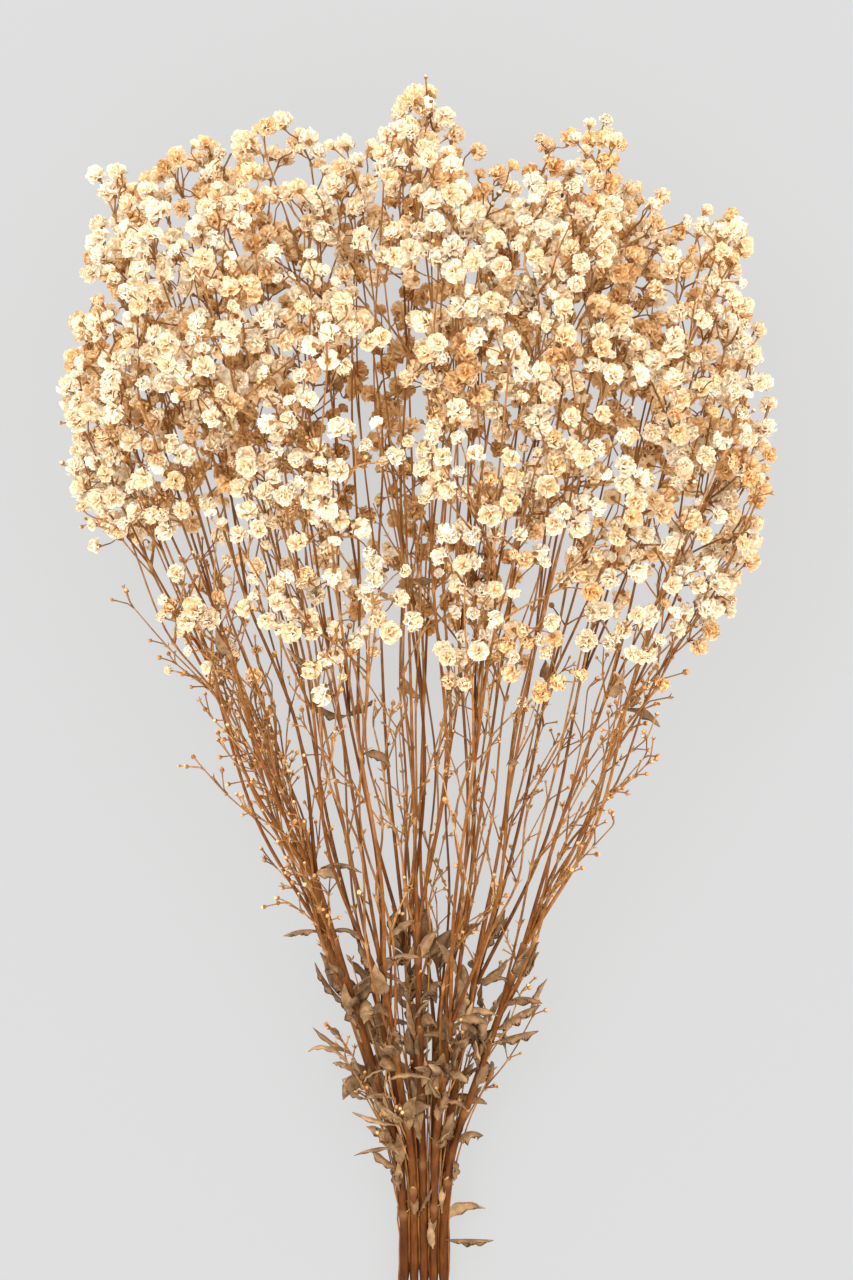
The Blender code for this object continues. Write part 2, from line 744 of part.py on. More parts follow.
def stem_solid(index, stem, materials):
    rng = np.random.default_rng(PETAL_SEED + index)
    pieces = []
    for spine, side in stem["leaves"]:
        pieces.append(leaf_solid(spine, side, materials))
    for foot, bud in stem["buds"]:
        pieces.append(bud_solid(to_world(foot), to_world(bud), materials))
    for route, place, radius in stem["branches"]:
        facing = unit(unit(place - route[-1][0]) + FACE_OUT * outward(place)) @ BUNCH_AXES
        sides = TWIG_SIDES if route[0][1] == TWIG_RADIUS[0] else THIN_SIDES
        blossom = to_world(place)
        pieces.append(branch_solid(world_route(route), blossom, facing, radius, sides, rng, materials))
    solid = joined(f"stem_{index + 1:02d}", stalk_solid(stem["stalk"], materials), pieces)
    pressed_flat(solid, materials)
    thinned(solid)
    return solid


def tie_profile():
    """Section of the tie as (y, thickness) points, one flat crown for each turn of twine."""
    turn = 2 * TIE_HALF_LENGTH / TIE_TURNS
    points = [(-TIE_HALF_LENGTH, 0.0)]
    for k in range(TIE_TURNS):
        start = -TIE_HALF_LENGTH + k * turn
        points.append((start + TIE_NOTCH, TIE_VALLEY))
        points += [(start + share * turn, TIE_THICKNESS) for share in TIE_CROWN]
    return points + [(TIE_HALF_LENGTH, TIE_VALLEY), (TIE_HALF_LENGTH, 0.0)]


def tie_solid():
    """Three turns of twine as one ring round both rows of stems, flat where it lies on the surface."""
    bm = bmesh.new()
    inner = STALK_RADIUS + TIE_GAP
    rows = []
    for quarter in range(4):
        corner_x = 2 * TIE_PITCH * (1 if quarter in (0, 3) else -1)
        corner_z = ROW_HALF * (1 if quarter < 2 else -1)
        for step in range(TIE_CORNER_STEPS + 1):
            angle = math.pi / 2 * (quarter + step / TIE_CORNER_STEPS)
            way = Vector((math.cos(angle), 0.0, math.sin(angle)))
            centre = Vector((corner_x, TIE_Y, TIE_HEIGHT + corner_z))
            rows.append([bm.verts.new(centre + way * (inner + thick) + Vector((0.0, y, 0.0)))
                         for y, thick in tie_profile()])
    for k, row in enumerate(rows):
        following = rows[(k + 1) % len(rows)]
        for i in range(len(row)):
            j = (i + 1) % len(row)
            bm.faces.new((row[i], row[j], following[j], following[i]))
    return new_object("tie", bm, [material("twine", TWINE_COLOUR)])


def stand_on_origin(objects):
    """Moves everything so that the origin is under the middle of its box, on the surface."""
    corners = np.array([corner for obj in objects for corner in obj.bound_box])
    low, high = corners.min(axis=0), corners.max(axis=0)
    shift = Vector((-(low[0] + high[0]) / 2, -(low[1] + high[1]) / 2, -low[2]))
    for obj in objects:
        for vertex in obj.data.vertices:
            vertex.co += shift
        obj.data.update()


def main():
    for obj in list(bpy.data.objects):
        bpy.data.objects.remove(obj)
    materials = [material("dried stem", STALK_COLOUR), material("dried leaf", LEAF_COLOUR),
                 material("dried blossom", BLOSSOM_COLOUR)]
    objects = [stem_solid(index, stem, materials) for index, stem in enumerate(grown_stems())]
    objects.append(tie_solid())
    stand_on_origin(objects)


main()
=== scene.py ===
import math

import bpy
import numpy as np
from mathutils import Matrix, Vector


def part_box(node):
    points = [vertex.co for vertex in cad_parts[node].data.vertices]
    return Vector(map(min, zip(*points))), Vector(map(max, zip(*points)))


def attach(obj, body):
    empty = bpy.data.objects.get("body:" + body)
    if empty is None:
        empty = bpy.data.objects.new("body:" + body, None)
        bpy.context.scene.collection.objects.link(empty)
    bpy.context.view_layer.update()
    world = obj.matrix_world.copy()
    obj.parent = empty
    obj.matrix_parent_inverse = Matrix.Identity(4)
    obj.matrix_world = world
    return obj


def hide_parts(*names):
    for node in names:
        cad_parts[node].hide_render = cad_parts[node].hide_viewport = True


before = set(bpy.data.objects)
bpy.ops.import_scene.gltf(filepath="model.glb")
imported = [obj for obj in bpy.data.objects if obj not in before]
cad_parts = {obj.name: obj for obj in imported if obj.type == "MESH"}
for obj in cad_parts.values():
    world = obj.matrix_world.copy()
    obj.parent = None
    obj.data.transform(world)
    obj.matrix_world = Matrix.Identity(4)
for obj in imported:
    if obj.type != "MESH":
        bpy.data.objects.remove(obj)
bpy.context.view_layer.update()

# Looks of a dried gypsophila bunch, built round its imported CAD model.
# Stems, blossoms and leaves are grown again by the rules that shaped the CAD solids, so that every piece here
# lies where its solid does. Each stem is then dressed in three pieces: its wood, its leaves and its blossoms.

MM = 0.001

# Growth rules, the same as the solids'

FOCUS = np.array([0.0, 21.0, 5.0]) * MM
HALF_DEPTH = 0.26
UNDER_DEPTH = 0.32
TILT = math.atan(HALF_DEPTH)
REACH_SLOPES = [-0.445, -0.43, -0.385, -0.335, -0.30, -0.24, -0.13, -0.06, 0.0, 0.06, 0.16, 0.20, 0.29, 0.335,
                0.39, 0.43, 0.45]
REACH_MM = [290, 326, 358, 390, 424, 430, 446, 434, 460, 428, 446, 416, 414, 380, 345, 312, 280]
DOME = 0.30
DOME_POWER = 3.0
HEM_SLOPES = [-0.445, -0.40, -0.25, 0.0, 0.2, 0.40, 0.45]
HEM_MM = [272, 270, 242, 205, 215, 240, 245]
CORE_HEM_MM = 345
STEMS = [
    (1, -2, -0.285, 0.07, 150),
    (1, -1, -0.145, 0.155, 108),
    (1, 0, -0.02, 0.08, 132),
    (1, 1, 0.115, 0.155, 92),
    (1, 2, 0.325, 0.06, 122),
    (-1, -2, -0.33, -0.10, 120),
    (-1, -1, -0.20, -0.145, 84),
    (-1, 0, -0.06, -0.075, 116),
    (-1, 1, 0.05, -0.15, 80),
    (-1, 2, 0.20, -0.075, 100),
]
TIE_PITCH = 3.95 * MM
ROW_HALF = 2.1 * MM
TIE_Y = -14.0 * MM
TIE_HALF_LENGTH = 4.2 * MM
TIE_THICKNESS = 1.57 * MM
TIE_GAP = 0.3 * MM
TIE_TURNS = 3
CUT_END_Y = -60.0 * MM
CUT_END_STEP = 2.0 * MM
CUT_END_TURN = 2.4
CUT_SPLAY = 1.12
BEND_ACROSS = 1.25 * MM
BEND_ROWS = 1.5 * MM
BEND_UP = 9.0 * MM
STALK_STEPS = np.array([8.0, 34.0, 62.0, 92.0]) * MM
CLEAR_OF_FORK = 20.0 * MM
STALK_RADIUS = 1.78 * MM
STALK_TOP_RADIUS = 1.35 * MM
TWIG_RADIUS = (1.05 * MM, 0.75 * MM, 0.6 * MM)
FORK_RADIUS = (2.3 * MM, 1.6 * MM, 0.85 * MM)
SWELL_LENGTH = 1.5
ROOT_RADIUS = 0.42 * MM
FORK_OFFSET = 0.4
SIDE_STEP = 1.8 * MM
BLOOM_COUNT = 256
BLOOM_RADIUS = 7.4 * MM
BLOOM_SPREAD = 0.8 * MM
BLOOM_SPACING = 15.0 * MM
REST_SHARE = 0.74
DEPTH_WEIGHT = 0.6
OUTER_SHARE = 0.72
OUTER_DEPTH = 0.10
FORK_SHARE = (0.5, 0.52, 0.55)
FEW = 3
MANY = 8
SPLIT_ROUNDS = 12
BOW = 0.07
STRAIGHT = 0.05
CLEAR = 0.4 * MM
LEAF_COUNT = 38
MORE_LEAVES = 105
LEAF_LENGTH = 18.5 * MM
LEAF_HALF_WIDTH = 3.3 * MM
LEAF_RINGS = 4
LEAF_HALF_THICKNESS = 0.4 * MM
LEAF_SAMPLES = 9
LEAF_SAMPLES_ACROSS = 5
LEAF_SAMPLES_FROM = 0.5
LEAF_TRIES = 60
LEAF_APART = 2.6 * MM
LEAF_SIZES = (0.7, 1.25)
LEAF_ANGLES = (0.6, 1.5)
LEAF_CURLS = (-0.8, 2.2)
LEAF_FOOT = 0.7
LEAF_TURNS = (-1.5, 1.5)
LEAF_WIDER = (0.9, 1.7)
NODE_FIRST, NODE_GAP, NODE_STAGGER, NODE_BELOW_FORK = 7.0, 29.0, 10.7, 12.0
STEEP_LEAF_ANGLES = (0.25, 1.1)
HUGGING_SHARE = 0.65
HUGGING_AT = (2.0 * MM, 115.0 * MM)
HUGGING_ANGLES = (0.1, 0.5)
BUD_COUNT = 26
BUD_RADIUS = 1.5 * MM
BUD_STALK = 14.0 * MM
BUD_APART = 9.0 * MM
BUD_SIZES = (0.8, 1.3)
BUD_ANGLES = (0.5, 1.0)
BUD_STEMS = (0, 5, 4, 9, 1, 6, 3)
BLOOM_SEED, LEAF_SEED, BUD_SEED, FILLER_SEED = 7, 21, 33, 12

ACROSS = np.array([1.0, 0.0, 0.0])
DEPTH = np.array([0.0, -math.sin(TILT), math.cos(TILT)])
AXIS = np.array([0.0, math.cos(TILT), math.sin(TILT)])
UP = np.array([0.0, 0.0, 1.0])
BUNCH_AXES = np.array([ACROSS, DEPTH, AXIS])
CELLS = np.array([[stem[2], stem[3]] for stem in STEMS])
TIE_HEIGHT = ROW_HALF + STALK_RADIUS + TIE_GAP + TIE_THICKNESS

# The tie shows where the drawing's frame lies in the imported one
TIE_LOW, TIE_HIGH = (np.array(corner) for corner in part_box("tie"))
SHIFT = np.array([(TIE_LOW[0] + TIE_HIGH[0]) / 2, (TIE_LOW[1] + TIE_HIGH[1]) / 2 - TIE_Y, TIE_LOW[2]])


def to_world(point):
    """From the bunch's coordinates (x, d, s) to the drawing's frame."""
    return FOCUS + np.asarray(point) @ BUNCH_AXES


def to_bunch(point):
    """From the drawing's frame to the bunch's coordinates: across, up out of it, and along it."""
    return BUNCH_AXES @ (np.asarray(point) - FOCUS)


def posed(place, way):
    """A place and a direction of the bunch's, in the drawing's frame."""
    return to_world(place), way @ BUNCH_AXES


def unit(vector):
    return vector / np.linalg.norm(vector)


def wall_distance(point, cell):
    """Distance from a point (x, d, s) to the nearest wall of a stem's cell, negative outside it."""
    nearest = math.inf
    for other in range(len(CELLS)):
        if other != cell:
            normal = unit(CELLS[other] - CELLS[cell])
            offset = normal @ (CELLS[other] + CELLS[cell]) / 2
            inside = (offset * point[2] - normal @ point[:2]) / math.hypot(1, offset)
            nearest = min(nearest, inside)
    return nearest


def cell_of(point):
    """The stem in whose cell a point (x, d, s) lies."""
    return int(np.argmin(np.linalg.norm(CELLS - point[:2] / point[2], axis=1)))


def roundness(slope_x, slope_d):
    """0 in the middle of the head, 1 on its outside."""
    edge = REACH_SLOPES[-1] if slope_x > 0 else REACH_SLOPES[0]
    depth = HALF_DEPTH if slope_d > 0 else UNDER_DEPTH
    return math.hypot(slope_x / edge, slope_d / depth)


def reach(slope_x, slope_d):
    """Distance s of the head's top in a direction, as slopes from the focus."""
    longest = np.interp(slope_x, REACH_SLOPES, REACH_MM) * MM
    depth = HALF_DEPTH if slope_d > 0 else UNDER_DEPTH
    return longest * (1 - DOME * abs(slope_d / depth) ** DOME_POWER)


def hem(slope_x, slope_d):
    """Distance s of the head's lower edge in a direction."""
    outside = np.interp(slope_x, HEM_SLOPES, HEM_MM) * MM
    inwards = max(0.0, 1 - roundness(slope_x, slope_d) ** 2)
    return outside + inwards * (CORE_HEM_MM * MM - outside)


def random_place(rng):
    """A random place for a blossom inside the head, most often near its outside."""
    while True:
        slope_x = rng.uniform(REACH_SLOPES[0], REACH_SLOPES[-1])
        slope_d = rng.uniform(-UNDER_DEPTH, HALF_DEPTH)
        around = roundness(slope_x, slope_d)
        top = reach(slope_x, slope_d)
        bottom = hem(slope_x, slope_d)
        if around > 1 or bottom >= top:
            continue
        s = (bottom ** 3 + rng.uniform() * (top ** 3 - bottom ** 3)) ** (1 / 3)
        outer = s > top * (1 - OUTER_DEPTH) or around > 1 - OUTER_DEPTH * 2
        if outer or rng.uniform() > OUTER_SHARE:
            return np.array([slope_x * s, slope_d * s, s])


def raised(point, radius):
    """The place lifted just enough for a blossom of that radius to lie on the surface."""
    low = REST_SHARE * radius - to_world(point)[2]
    return point + np.array([0.0, max(0.0, low) / DEPTH[2], 0.0])


def blossom_places():
    """For each stem, the places and radii of its solid blossoms, clear of the cell walls."""
    rng = np.random.default_rng(BLOOM_SEED)
    own = [[] for _ in STEMS]
    taken = np.full((1, 3), math.inf)
    weights = np.array([1.0, DEPTH_WEIGHT, 1.0])
    while len(taken) <= BLOOM_COUNT:
        radius = BLOOM_RADIUS + rng.uniform(-1, 1) * BLOOM_SPREAD
        point = raised(random_place(rng), radius)
        cell = cell_of(point)
        crowded = np.linalg.norm((taken - point) * weights, axis=1).min() < BLOOM_SPACING
        if not crowded and wall_distance(point, cell) > radius + CLEAR:
            own[cell].append((point, radius))
            taken = np.vstack([taken, point])
    return own


def soft_rise(amount, bend):
    """Follows amount where it is well above zero, and levels off smoothly to zero below it."""
    return (amount + math.hypot(amount, bend)) / 2


def stalk_point(index, s):
    """Centre of one stem's stalk at distance s: tied below, on its own line above."""
    row, place, slope_x, slope_d, _ = STEMS[index]
    middle = to_world(np.array([0.0, 0.0, s]))
    tie_x = abs(place) * TIE_PITCH
    out = tie_x + soft_rise(abs(slope_x) * s - tie_x, BEND_ACROSS * abs(place))
    lift = TIE_HEIGHT + soft_rise(middle[2] - TIE_HEIGHT, BEND_UP)
    apart = ROW_HALF + soft_rise(abs(slope_d) * s * DEPTH[2] - ROW_HALF, BEND_ROWS)
    return np.array([math.copysign(out, slope_x), middle[1] + slope_d * s * DEPTH[1], lift + row * apart])


def stalk_line(index):
    """Centre line of one stem's stalk, from its cut end to its first fork."""
    row, place, _, _, fork_mm = STEMS[index]
    height = TIE_HEIGHT + row * ROW_HALF
    cut_y = CUT_END_Y + CUT_END_STEP * math.sin(CUT_END_TURN * index)
    line = [np.array([place * TIE_PITCH * CUT_SPLAY, cut_y, height])]
    for side in (-1, 1):
        line.append(np.array([place * TIE_PITCH, TIE_Y + side * (TIE_HALF_LENGTH + TIE_GAP), height]))
    line += [stalk_point(index, s) for s in STALK_STEPS if s < fork_mm * MM - CLEAR_OF_FORK]
    line.append(stalk_point(index, fork_mm * MM))
    return line


def split(points, fork, groups):
    """Sorts points into groups by their direction from the fork."""
    ways = np.array([unit(point - fork) for point in points])
    centres = [ways[np.argmax(np.linalg.norm(ways - ways.mean(axis=0), axis=1))]]
    while len(centres) < groups:
        apart = np.min([np.linalg.norm(ways - centre, axis=1) for centre in centres], axis=0)
        centres.append(ways[np.argmax(apart)])
    for _ in range(SPLIT_ROUNDS):
        nearest = np.argmin([np.linalg.norm(ways - centre, axis=1) for centre in centres], axis=0)
        centres = [ways[nearest == g].mean(axis=0) if (nearest == g).any() else centres[g]
                   for g in range(groups)]
    return [np.flatnonzero(nearest == g) for g in range(groups) if (nearest == g).any()]


def bowed_middle(start, end, heading, cell):
    """Middle point of a twig that leaves its fork wide and curves back up."""
    along = end - start
    length = np.linalg.norm(along)
    sideways = along - heading * (along @ heading)
    middle = (start + end) / 2
    if np.linalg.norm(sideways) < STRAIGHT * length:
        return middle
    room = wall_distance(middle, cell) - TWIG_RADIUS[0] - CLEAR
    height = to_world(middle)[2] - TWIG_RADIUS[0] - CLEAR
    return middle + unit(sideways) * max(0.0, min(BOW * length, room, height))


def side_root(fork, heading, aim, level, number):
    """Where a side branch starts, sunk in the fork: beside its middle, or a step below it on a thin twig."""
    if level == 2:
        return fork - heading * SIDE_STEP * number
    way = unit(aim - fork)
    return fork + unit(way - heading * (way @ heading)) * FORK_OFFSET * FORK_RADIUS[level]


def grow(stem, cell, route, blossoms, level):
    """Takes a branch on from the fork at its end to its blossoms, and starts the side branches there.

    A route is a list of (point, radius). The group of blossoms straightest ahead goes on along the route.
    """
    fork = route[-1][0]
    heading = unit(fork - route[-2][0])
    stem["forks"].append((fork, heading, level))
    points = np.array([place for place, _ in blossoms])
    if len(blossoms) <= FEW:
        groups = [[m] for m in range(len(blossoms))]
    else:
        groups = split(points, fork, 3 if len(blossoms) >= MANY else 2)
    aims = [points[members].mean(axis=0) for members in groups]
    order = sorted(range(len(groups)), key=lambda g: -(unit(aims[g] - fork) @ heading))
    for number, g in enumerate(order):
        chosen = [blossoms[m] for m in groups[g]]
        if number == 0 and level > 0:
            branch = list(route)
        else:
            start = side_root(fork, heading, aims[g], level, number)
            branch = [(start, ROOT_RADIUS if len(chosen) == 1 else TWIG_RADIUS[level])]
        if len(chosen) == 1:
            stem["branches"].append((branch, *chosen[0]))
            continue
        child = fork + FORK_SHARE[level] * (aims[g] - fork)
        below = min(level + 1, 2)
        if level == 0:
            branch.append((bowed_middle(fork, child, heading, cell), TWIG_RADIUS[0]))
        way = unit(child - branch[-1][0])
        if below == 1:
            branch.append((child - way * FORK_RADIUS[1] * SWELL_LENGTH, TWIG_RADIUS[1]))
        branch.append((child, FORK_RADIUS[below]))
        grow(stem, cell, branch, chosen, below)


def rotated(vector, axis, angle):
    """A vector turned round an axis."""
    return (vector * math.cos(angle) + np.cross(axis, vector) * math.sin(angle)
            + axis * (axis @ vector) * (1 - math.cos(angle)))


def across(heading, angle):
    """A direction square to the heading, turned round it by an angle."""
    side = unit(np.cross(heading, UP))
    return rotated(side, heading, angle)


def any_angle(rng):
    return rng.uniform(0, math.tau)


def turned_off(heading, angles, rng):
    """A direction that leaves the heading to any side, by an angle within the given ones."""
    return rotated(heading, across(heading, any_angle(rng)), rng.uniform(*angles))


def gaps_to(points, starts, ends):
    """Distance from each point to each straight piece."""
    along = ends - starts
    offsets = points[:, None, :] - starts[None]
    share = np.clip((offsets * along).sum(axis=2) / (along * along).sum(axis=1), 0, 1)
    return np.linalg.norm(offsets - share[:, :, None] * along, axis=2)


def straight_pieces(stems):
    """Every stalk and twig as straight pieces, with its radius and its stem."""
    starts, ends, radii, owners = [], [], [], []
    for owner, stem in enumerate(stems):
        routes = [(stem["stalk"], STALK_RADIUS)]
        routes += [([to_world(p) for p, _ in route], TWIG_RADIUS[0]) for route, _, _ in stem["branches"]]
        for route, radius in routes:
            starts += route[:-1]
            ends += route[1:]
            radii += [radius] * (len(route) - 1)
            owners += [owner] * (len(route) - 1)
    return np.array(starts), np.array(ends), np.array(radii), np.array(owners)


def leaf_samples(spine, side):
    """Points spread over a leaf, to test what it would touch."""
    steps = np.linspace(LEAF_SAMPLES_FROM, len(spine) - 1, LEAF_SAMPLES)
    middles = np.array([[np.interp(t, range(len(spine)), [p[axis] for p in spine]) for axis in range(3)]
                        for t in steps])
    offsets = np.linspace(-1, 1, LEAF_SAMPLES_ACROSS) * LEAF_HALF_WIDTH
    return (middles[:, None, :] + offsets[None, :, None] * side).reshape(-1, 3)


def leaf_feet(stem):
    """Where a stem may carry leaves, as (point, heading): nodes up its stalk, and its lower forks."""
    line = stem["stalk"]
    feet = []
    for low, high in zip(line[2:], line[3:]):
        feet.append((low + LEAF_FOOT * (high - low), unit(high - low)))
    for place, heading, level in stem["forks"]:
        if level < 2:
            feet.append(posed(place, heading))
    return feet


def stalk_nodes(index):
    """Distances s of the nodes up a stalk."""
    first = NODE_FIRST + NODE_STAGGER * index % NODE_GAP
    return np.arange(first, STEMS[index][4] - NODE_BELOW_FORK, NODE_GAP) * MM


def stalk_spot(index, s):
    """Point on a stalk, and its direction there."""
    foot = stalk_point(index, s)
    return foot, unit(stalk_point(index, s + MM) - foot)


def curled(foot, way, side, length, curl):
    """Midrib of a leaf that leaves its foot along a way and curls over by an angle in all."""
    spine = [foot]
    for _ in range(LEAF_RINGS):
        spine.append(spine[-1] + way * length / LEAF_RINGS)
        way = rotated(way, side, curl / LEAF_RINGS)
    return spine


def random_spine(rng, foot, heading, angles):
    """Midrib of a dry leaf that leaves its node sideways and curls, and the direction across it."""
    way = turned_off(heading, angles, rng)
    side = unit(np.cross(heading, way))
    curl = rng.uniform(*LEAF_CURLS)
    return curled(foot, way, side, LEAF_LENGTH * rng.uniform(*LEAF_SIZES), curl), side


def add_leaves(stems):
    """Gives the stems their leaves, each clear of every other stem and of the surface."""
    rng = np.random.default_rng(LEAF_SEED)
    starts, ends, radii, owners = straight_pieces(stems)
    taken = [np.empty((0, 3)) for _ in stems]
    for number in range(LEAF_COUNT + MORE_LEAVES):
        owner = number % len(stems)
        feet = leaf_feet(stems[owner])
        others = owners != owner
        near = np.vstack([taken[k] for k in range(len(stems)) if k != owner])
        for _ in range(LEAF_TRIES):
            foot, heading = feet[rng.integers(len(feet))]
            more = number >= LEAF_COUNT
            if more:
                hugs = rng.uniform() < HUGGING_SHARE
                s = rng.uniform(*HUGGING_AT) if hugs else rng.choice(stalk_nodes(owner))
                foot, heading = stalk_spot(owner, s)
                angles = HUGGING_ANGLES if hugs else STEEP_LEAF_ANGLES
            spine, side = random_spine(rng, foot, heading, angles if more else LEAF_ANGLES)
            wide = 1.0
            if more:
                side = rotated(side, unit(spine[1] - spine[0]), rng.uniform(*LEAF_TURNS))
                wide = rng.uniform(*LEAF_WIDER)
            samples = leaf_samples(spine, side)
            room = (gaps_to(samples, starts[others], ends[others]) - radii[others]).min()
            apart = np.linalg.norm(samples[:, None] - near[None], axis=2).min() if len(near) else math.inf
            high_enough = samples[:, 2].min() > 2 * LEAF_HALF_THICKNESS
            past_tie = samples[:, 1].min() > TIE_Y + TIE_HALF_LENGTH + LEAF_APART
            if room > LEAF_HALF_THICKNESS * 2 + CLEAR and apart > LEAF_APART and high_enough and past_tie:
                stems[owner]["leaves"].append((spine, side, wide))
                taken[owner] = np.vstack([taken[owner], samples])
                break


def add_buds(stems):
    """Gives the outer stems side twigs that end in a dry bud, inside their own cells."""
    rng = np.random.default_rng(BUD_SEED)
    placed = 0
    while placed < BUD_COUNT:
        owner = BUD_STEMS[rng.integers(len(BUD_STEMS))]
        stem = stems[owner]
        route = stem["branches"][rng.integers(len(stem["branches"]))][0]
        if len(route) < 2:
            continue
        piece = rng.integers(len(route) - 1)
        start, end = route[piece][0], route[piece + 1][0]
        foot = (start + end) / 2
        heading = unit(end - start)
        way = turned_off(heading, BUD_ANGLES, rng)
        bud = foot + way * BUD_STALK * rng.uniform(*BUD_SIZES)
        to_blooms = min(np.linalg.norm(place - bud) for _, place, _ in stem["branches"])
        inside = min(wall_distance(bud, owner), wall_distance((foot + bud) / 2, owner))
        if inside > BUD_RADIUS + CLEAR and to_world(bud)[2] > 2 * BUD_RADIUS and to_blooms > BUD_APART:
            stem["buds"].append((foot, bud))
            placed += 1


def grown_stems():
    """Every stem as points: stalk and leaves in the drawing's frame, the rest in the bunch's coordinates."""
    stems = []
    for index, blossoms in enumerate(blossom_places()):
        line = stalk_line(index)
        stem = {"stalk": line, "forks": [], "branches": [], "buds": [], "leaves": [], "fillers": []}
        grow(stem, index, [(to_bunch(point), STALK_RADIUS) for point in line[-2:]], blossoms, 0)
        stems.append(stem)
    add_leaves(stems)
    add_buds(stems)
    add_fillers(stems)
    return stems


def outward(place):
    """Direction out of the head's side at a place (x, d, s)."""
    return unit(np.array([place[0] / REACH_SLOPES[-1] ** 2, place[1] / HALF_DEPTH ** 2, 0.0]))


def free(point, index, margin):
    """Whether a point lies inside its stem's cell and off the surface."""
    return wall_distance(point, index) > margin and to_world(point)[2] > 2 * margin


# Meshes

VALUES = ("tone", "along", "mark")
# A line or a blossom this near to upright takes its side from the axis across instead
STEEP = 0.9
UPRIGHT = 0.99


def linked(name, data):
    """New object in the scene."""
    obj = bpy.data.objects.new(name, data)
    bpy.context.scene.collection.objects.link(obj)
    return obj


def grid(rows, columns, closed):
    """Quads between the points of a grid, joined round across its columns where closed."""
    wide = columns if closed else columns - 1
    row, column = np.meshgrid(np.arange(rows - 1), np.arange(wide), indexing="ij")
    following = (column + 1) % columns
    corners = [row * columns + column, row * columns + following,
               (row + 1) * columns + following, (row + 1) * columns + column]
    return np.stack(corners, axis=-1).reshape(-1, 4)


class Shape:
    """Gathers quads until they become one piece.

    Each point carries the values that colour it: a tone, its place along the plant or petal, and a mark.
    """

    def __init__(self):
        self.points, self.quads = [], []
        self.values = {name: [] for name in VALUES}
        self.count = 0

    def add(self, points, quads, **values):
        points = points.reshape(-1, 3)
        self.points.append(points)
        self.quads.append(quads + self.count)
        for name in VALUES:
            self.values[name].append(np.broadcast_to(values.get(name, 0.0), len(points)))
        self.count += len(points)

    def piece(self, name, made_of, slot, node, smooth=True):
        points = np.concatenate(self.points) + SHIFT
        points[:, 2] = np.maximum(points[:, 2], 0.0)
        quads = np.concatenate(self.quads)
        mesh = bpy.data.meshes.new(name)
        mesh.vertices.add(len(points))
        mesh.vertices.foreach_set("co", points.ravel())
        mesh.loops.add(quads.size)
        mesh.loops.foreach_set("vertex_index", quads.ravel())
        mesh.polygons.add(len(quads))
        mesh.polygons.foreach_set("loop_start", np.arange(0, quads.size, 4))
        mesh.polygons.foreach_set("use_smooth", np.full(len(quads), smooth))
        mesh.update(calc_edges=True)
        for value in VALUES:
            layer = mesh.attributes.new(value, "FLOAT", "POINT")
            layer.data.foreach_set("value", np.concatenate(self.values[value]).astype(np.float32))
        mesh.materials.append(made_of)
        obj = linked(name, mesh)
        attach(obj, "root")
        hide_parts(node)


def smooth_line(points, step):
    """Points about a step apart on a smooth curve through the given ones."""
    points = np.asarray(points)
    gaps = np.linalg.norm(np.diff(points, axis=0), axis=1)
    pulls = np.diff(points, axis=0) / gaps[:, None]
    ways = np.empty_like(points)
    ways[0], ways[-1] = pulls[0], pulls[-1]
    near, far = gaps[:-1, None], gaps[1:, None]
    ways[1:-1] = (pulls[:-1] * far + pulls[1:] * near) / (near + far)
    line = []
    for i, gap in enumerate(gaps):
        parts = max(1, math.ceil(gap / step))
        t = np.arange(parts)[:, None] / parts
        line.append(points[i] * (2 * t ** 3 - 3 * t ** 2 + 1) + points[i + 1] * (3 * t ** 2 - 2 * t ** 3)
                    + gap * (ways[i] * (t ** 3 - 2 * t ** 2 + t) + ways[i + 1] * (t ** 3 - t ** 2)))
    return np.concatenate(line + [points[-1:]])


def distances(line):
    return np.concatenate([[0.0], np.cumsum(np.linalg.norm(np.diff(line, axis=0), axis=1))])


def shares_along(line):
    """How far along the line each of its points lies, from 0 to 1."""
    travelled = distances(line)
    return travelled / travelled[-1]


def ways_along(line):
    """Direction of a line at each of its points."""
    ways = np.gradient(line, axis=0)
    return ways / np.linalg.norm(ways, axis=1)[:, None]


def circle(sides):
    """Cosines and sines of directions spaced evenly round a circle."""
    angles = np.arange(sides) * math.tau / sides
    return np.cos(angles), np.sin(angles)


def frames_along(line):
    """Directions along a line and two square to it, turned as little as possible from point to point."""
    ways = ways_along(line)
    sides = np.empty_like(ways)
    side = UP if abs(ways[0][2]) < STEEP else ACROSS
    for i, way in enumerate(ways):
        side = unit(side - way * (side @ way))
        sides[i] = side
    return ways, sides, np.cross(ways, sides)


def add_tube(shape, line, radii, sides, **values):
    """Round twig along a line. A value given for each point of the line is spread round its ring."""
    _, first, second = frames_along(line)
    cosines, sines = circle(sides)
    spokes = first[:, None] * cosines[None, :, None] + second[:, None] * sines[None, :, None]
    points = line[:, None] + spokes * np.broadcast_to(radii, len(line))[:, None, None]
    spread = {name: np.repeat(np.broadcast_to(value, len(line)), sides) for name, value in values.items()}
    shape.add(points, grid(len(line), sides, True), **spread)


# Wood: stalks, twigs and pedicels
# Along is where a part of the wood takes its colour from, between 0 at the foot and 1 at the pedicels' tips

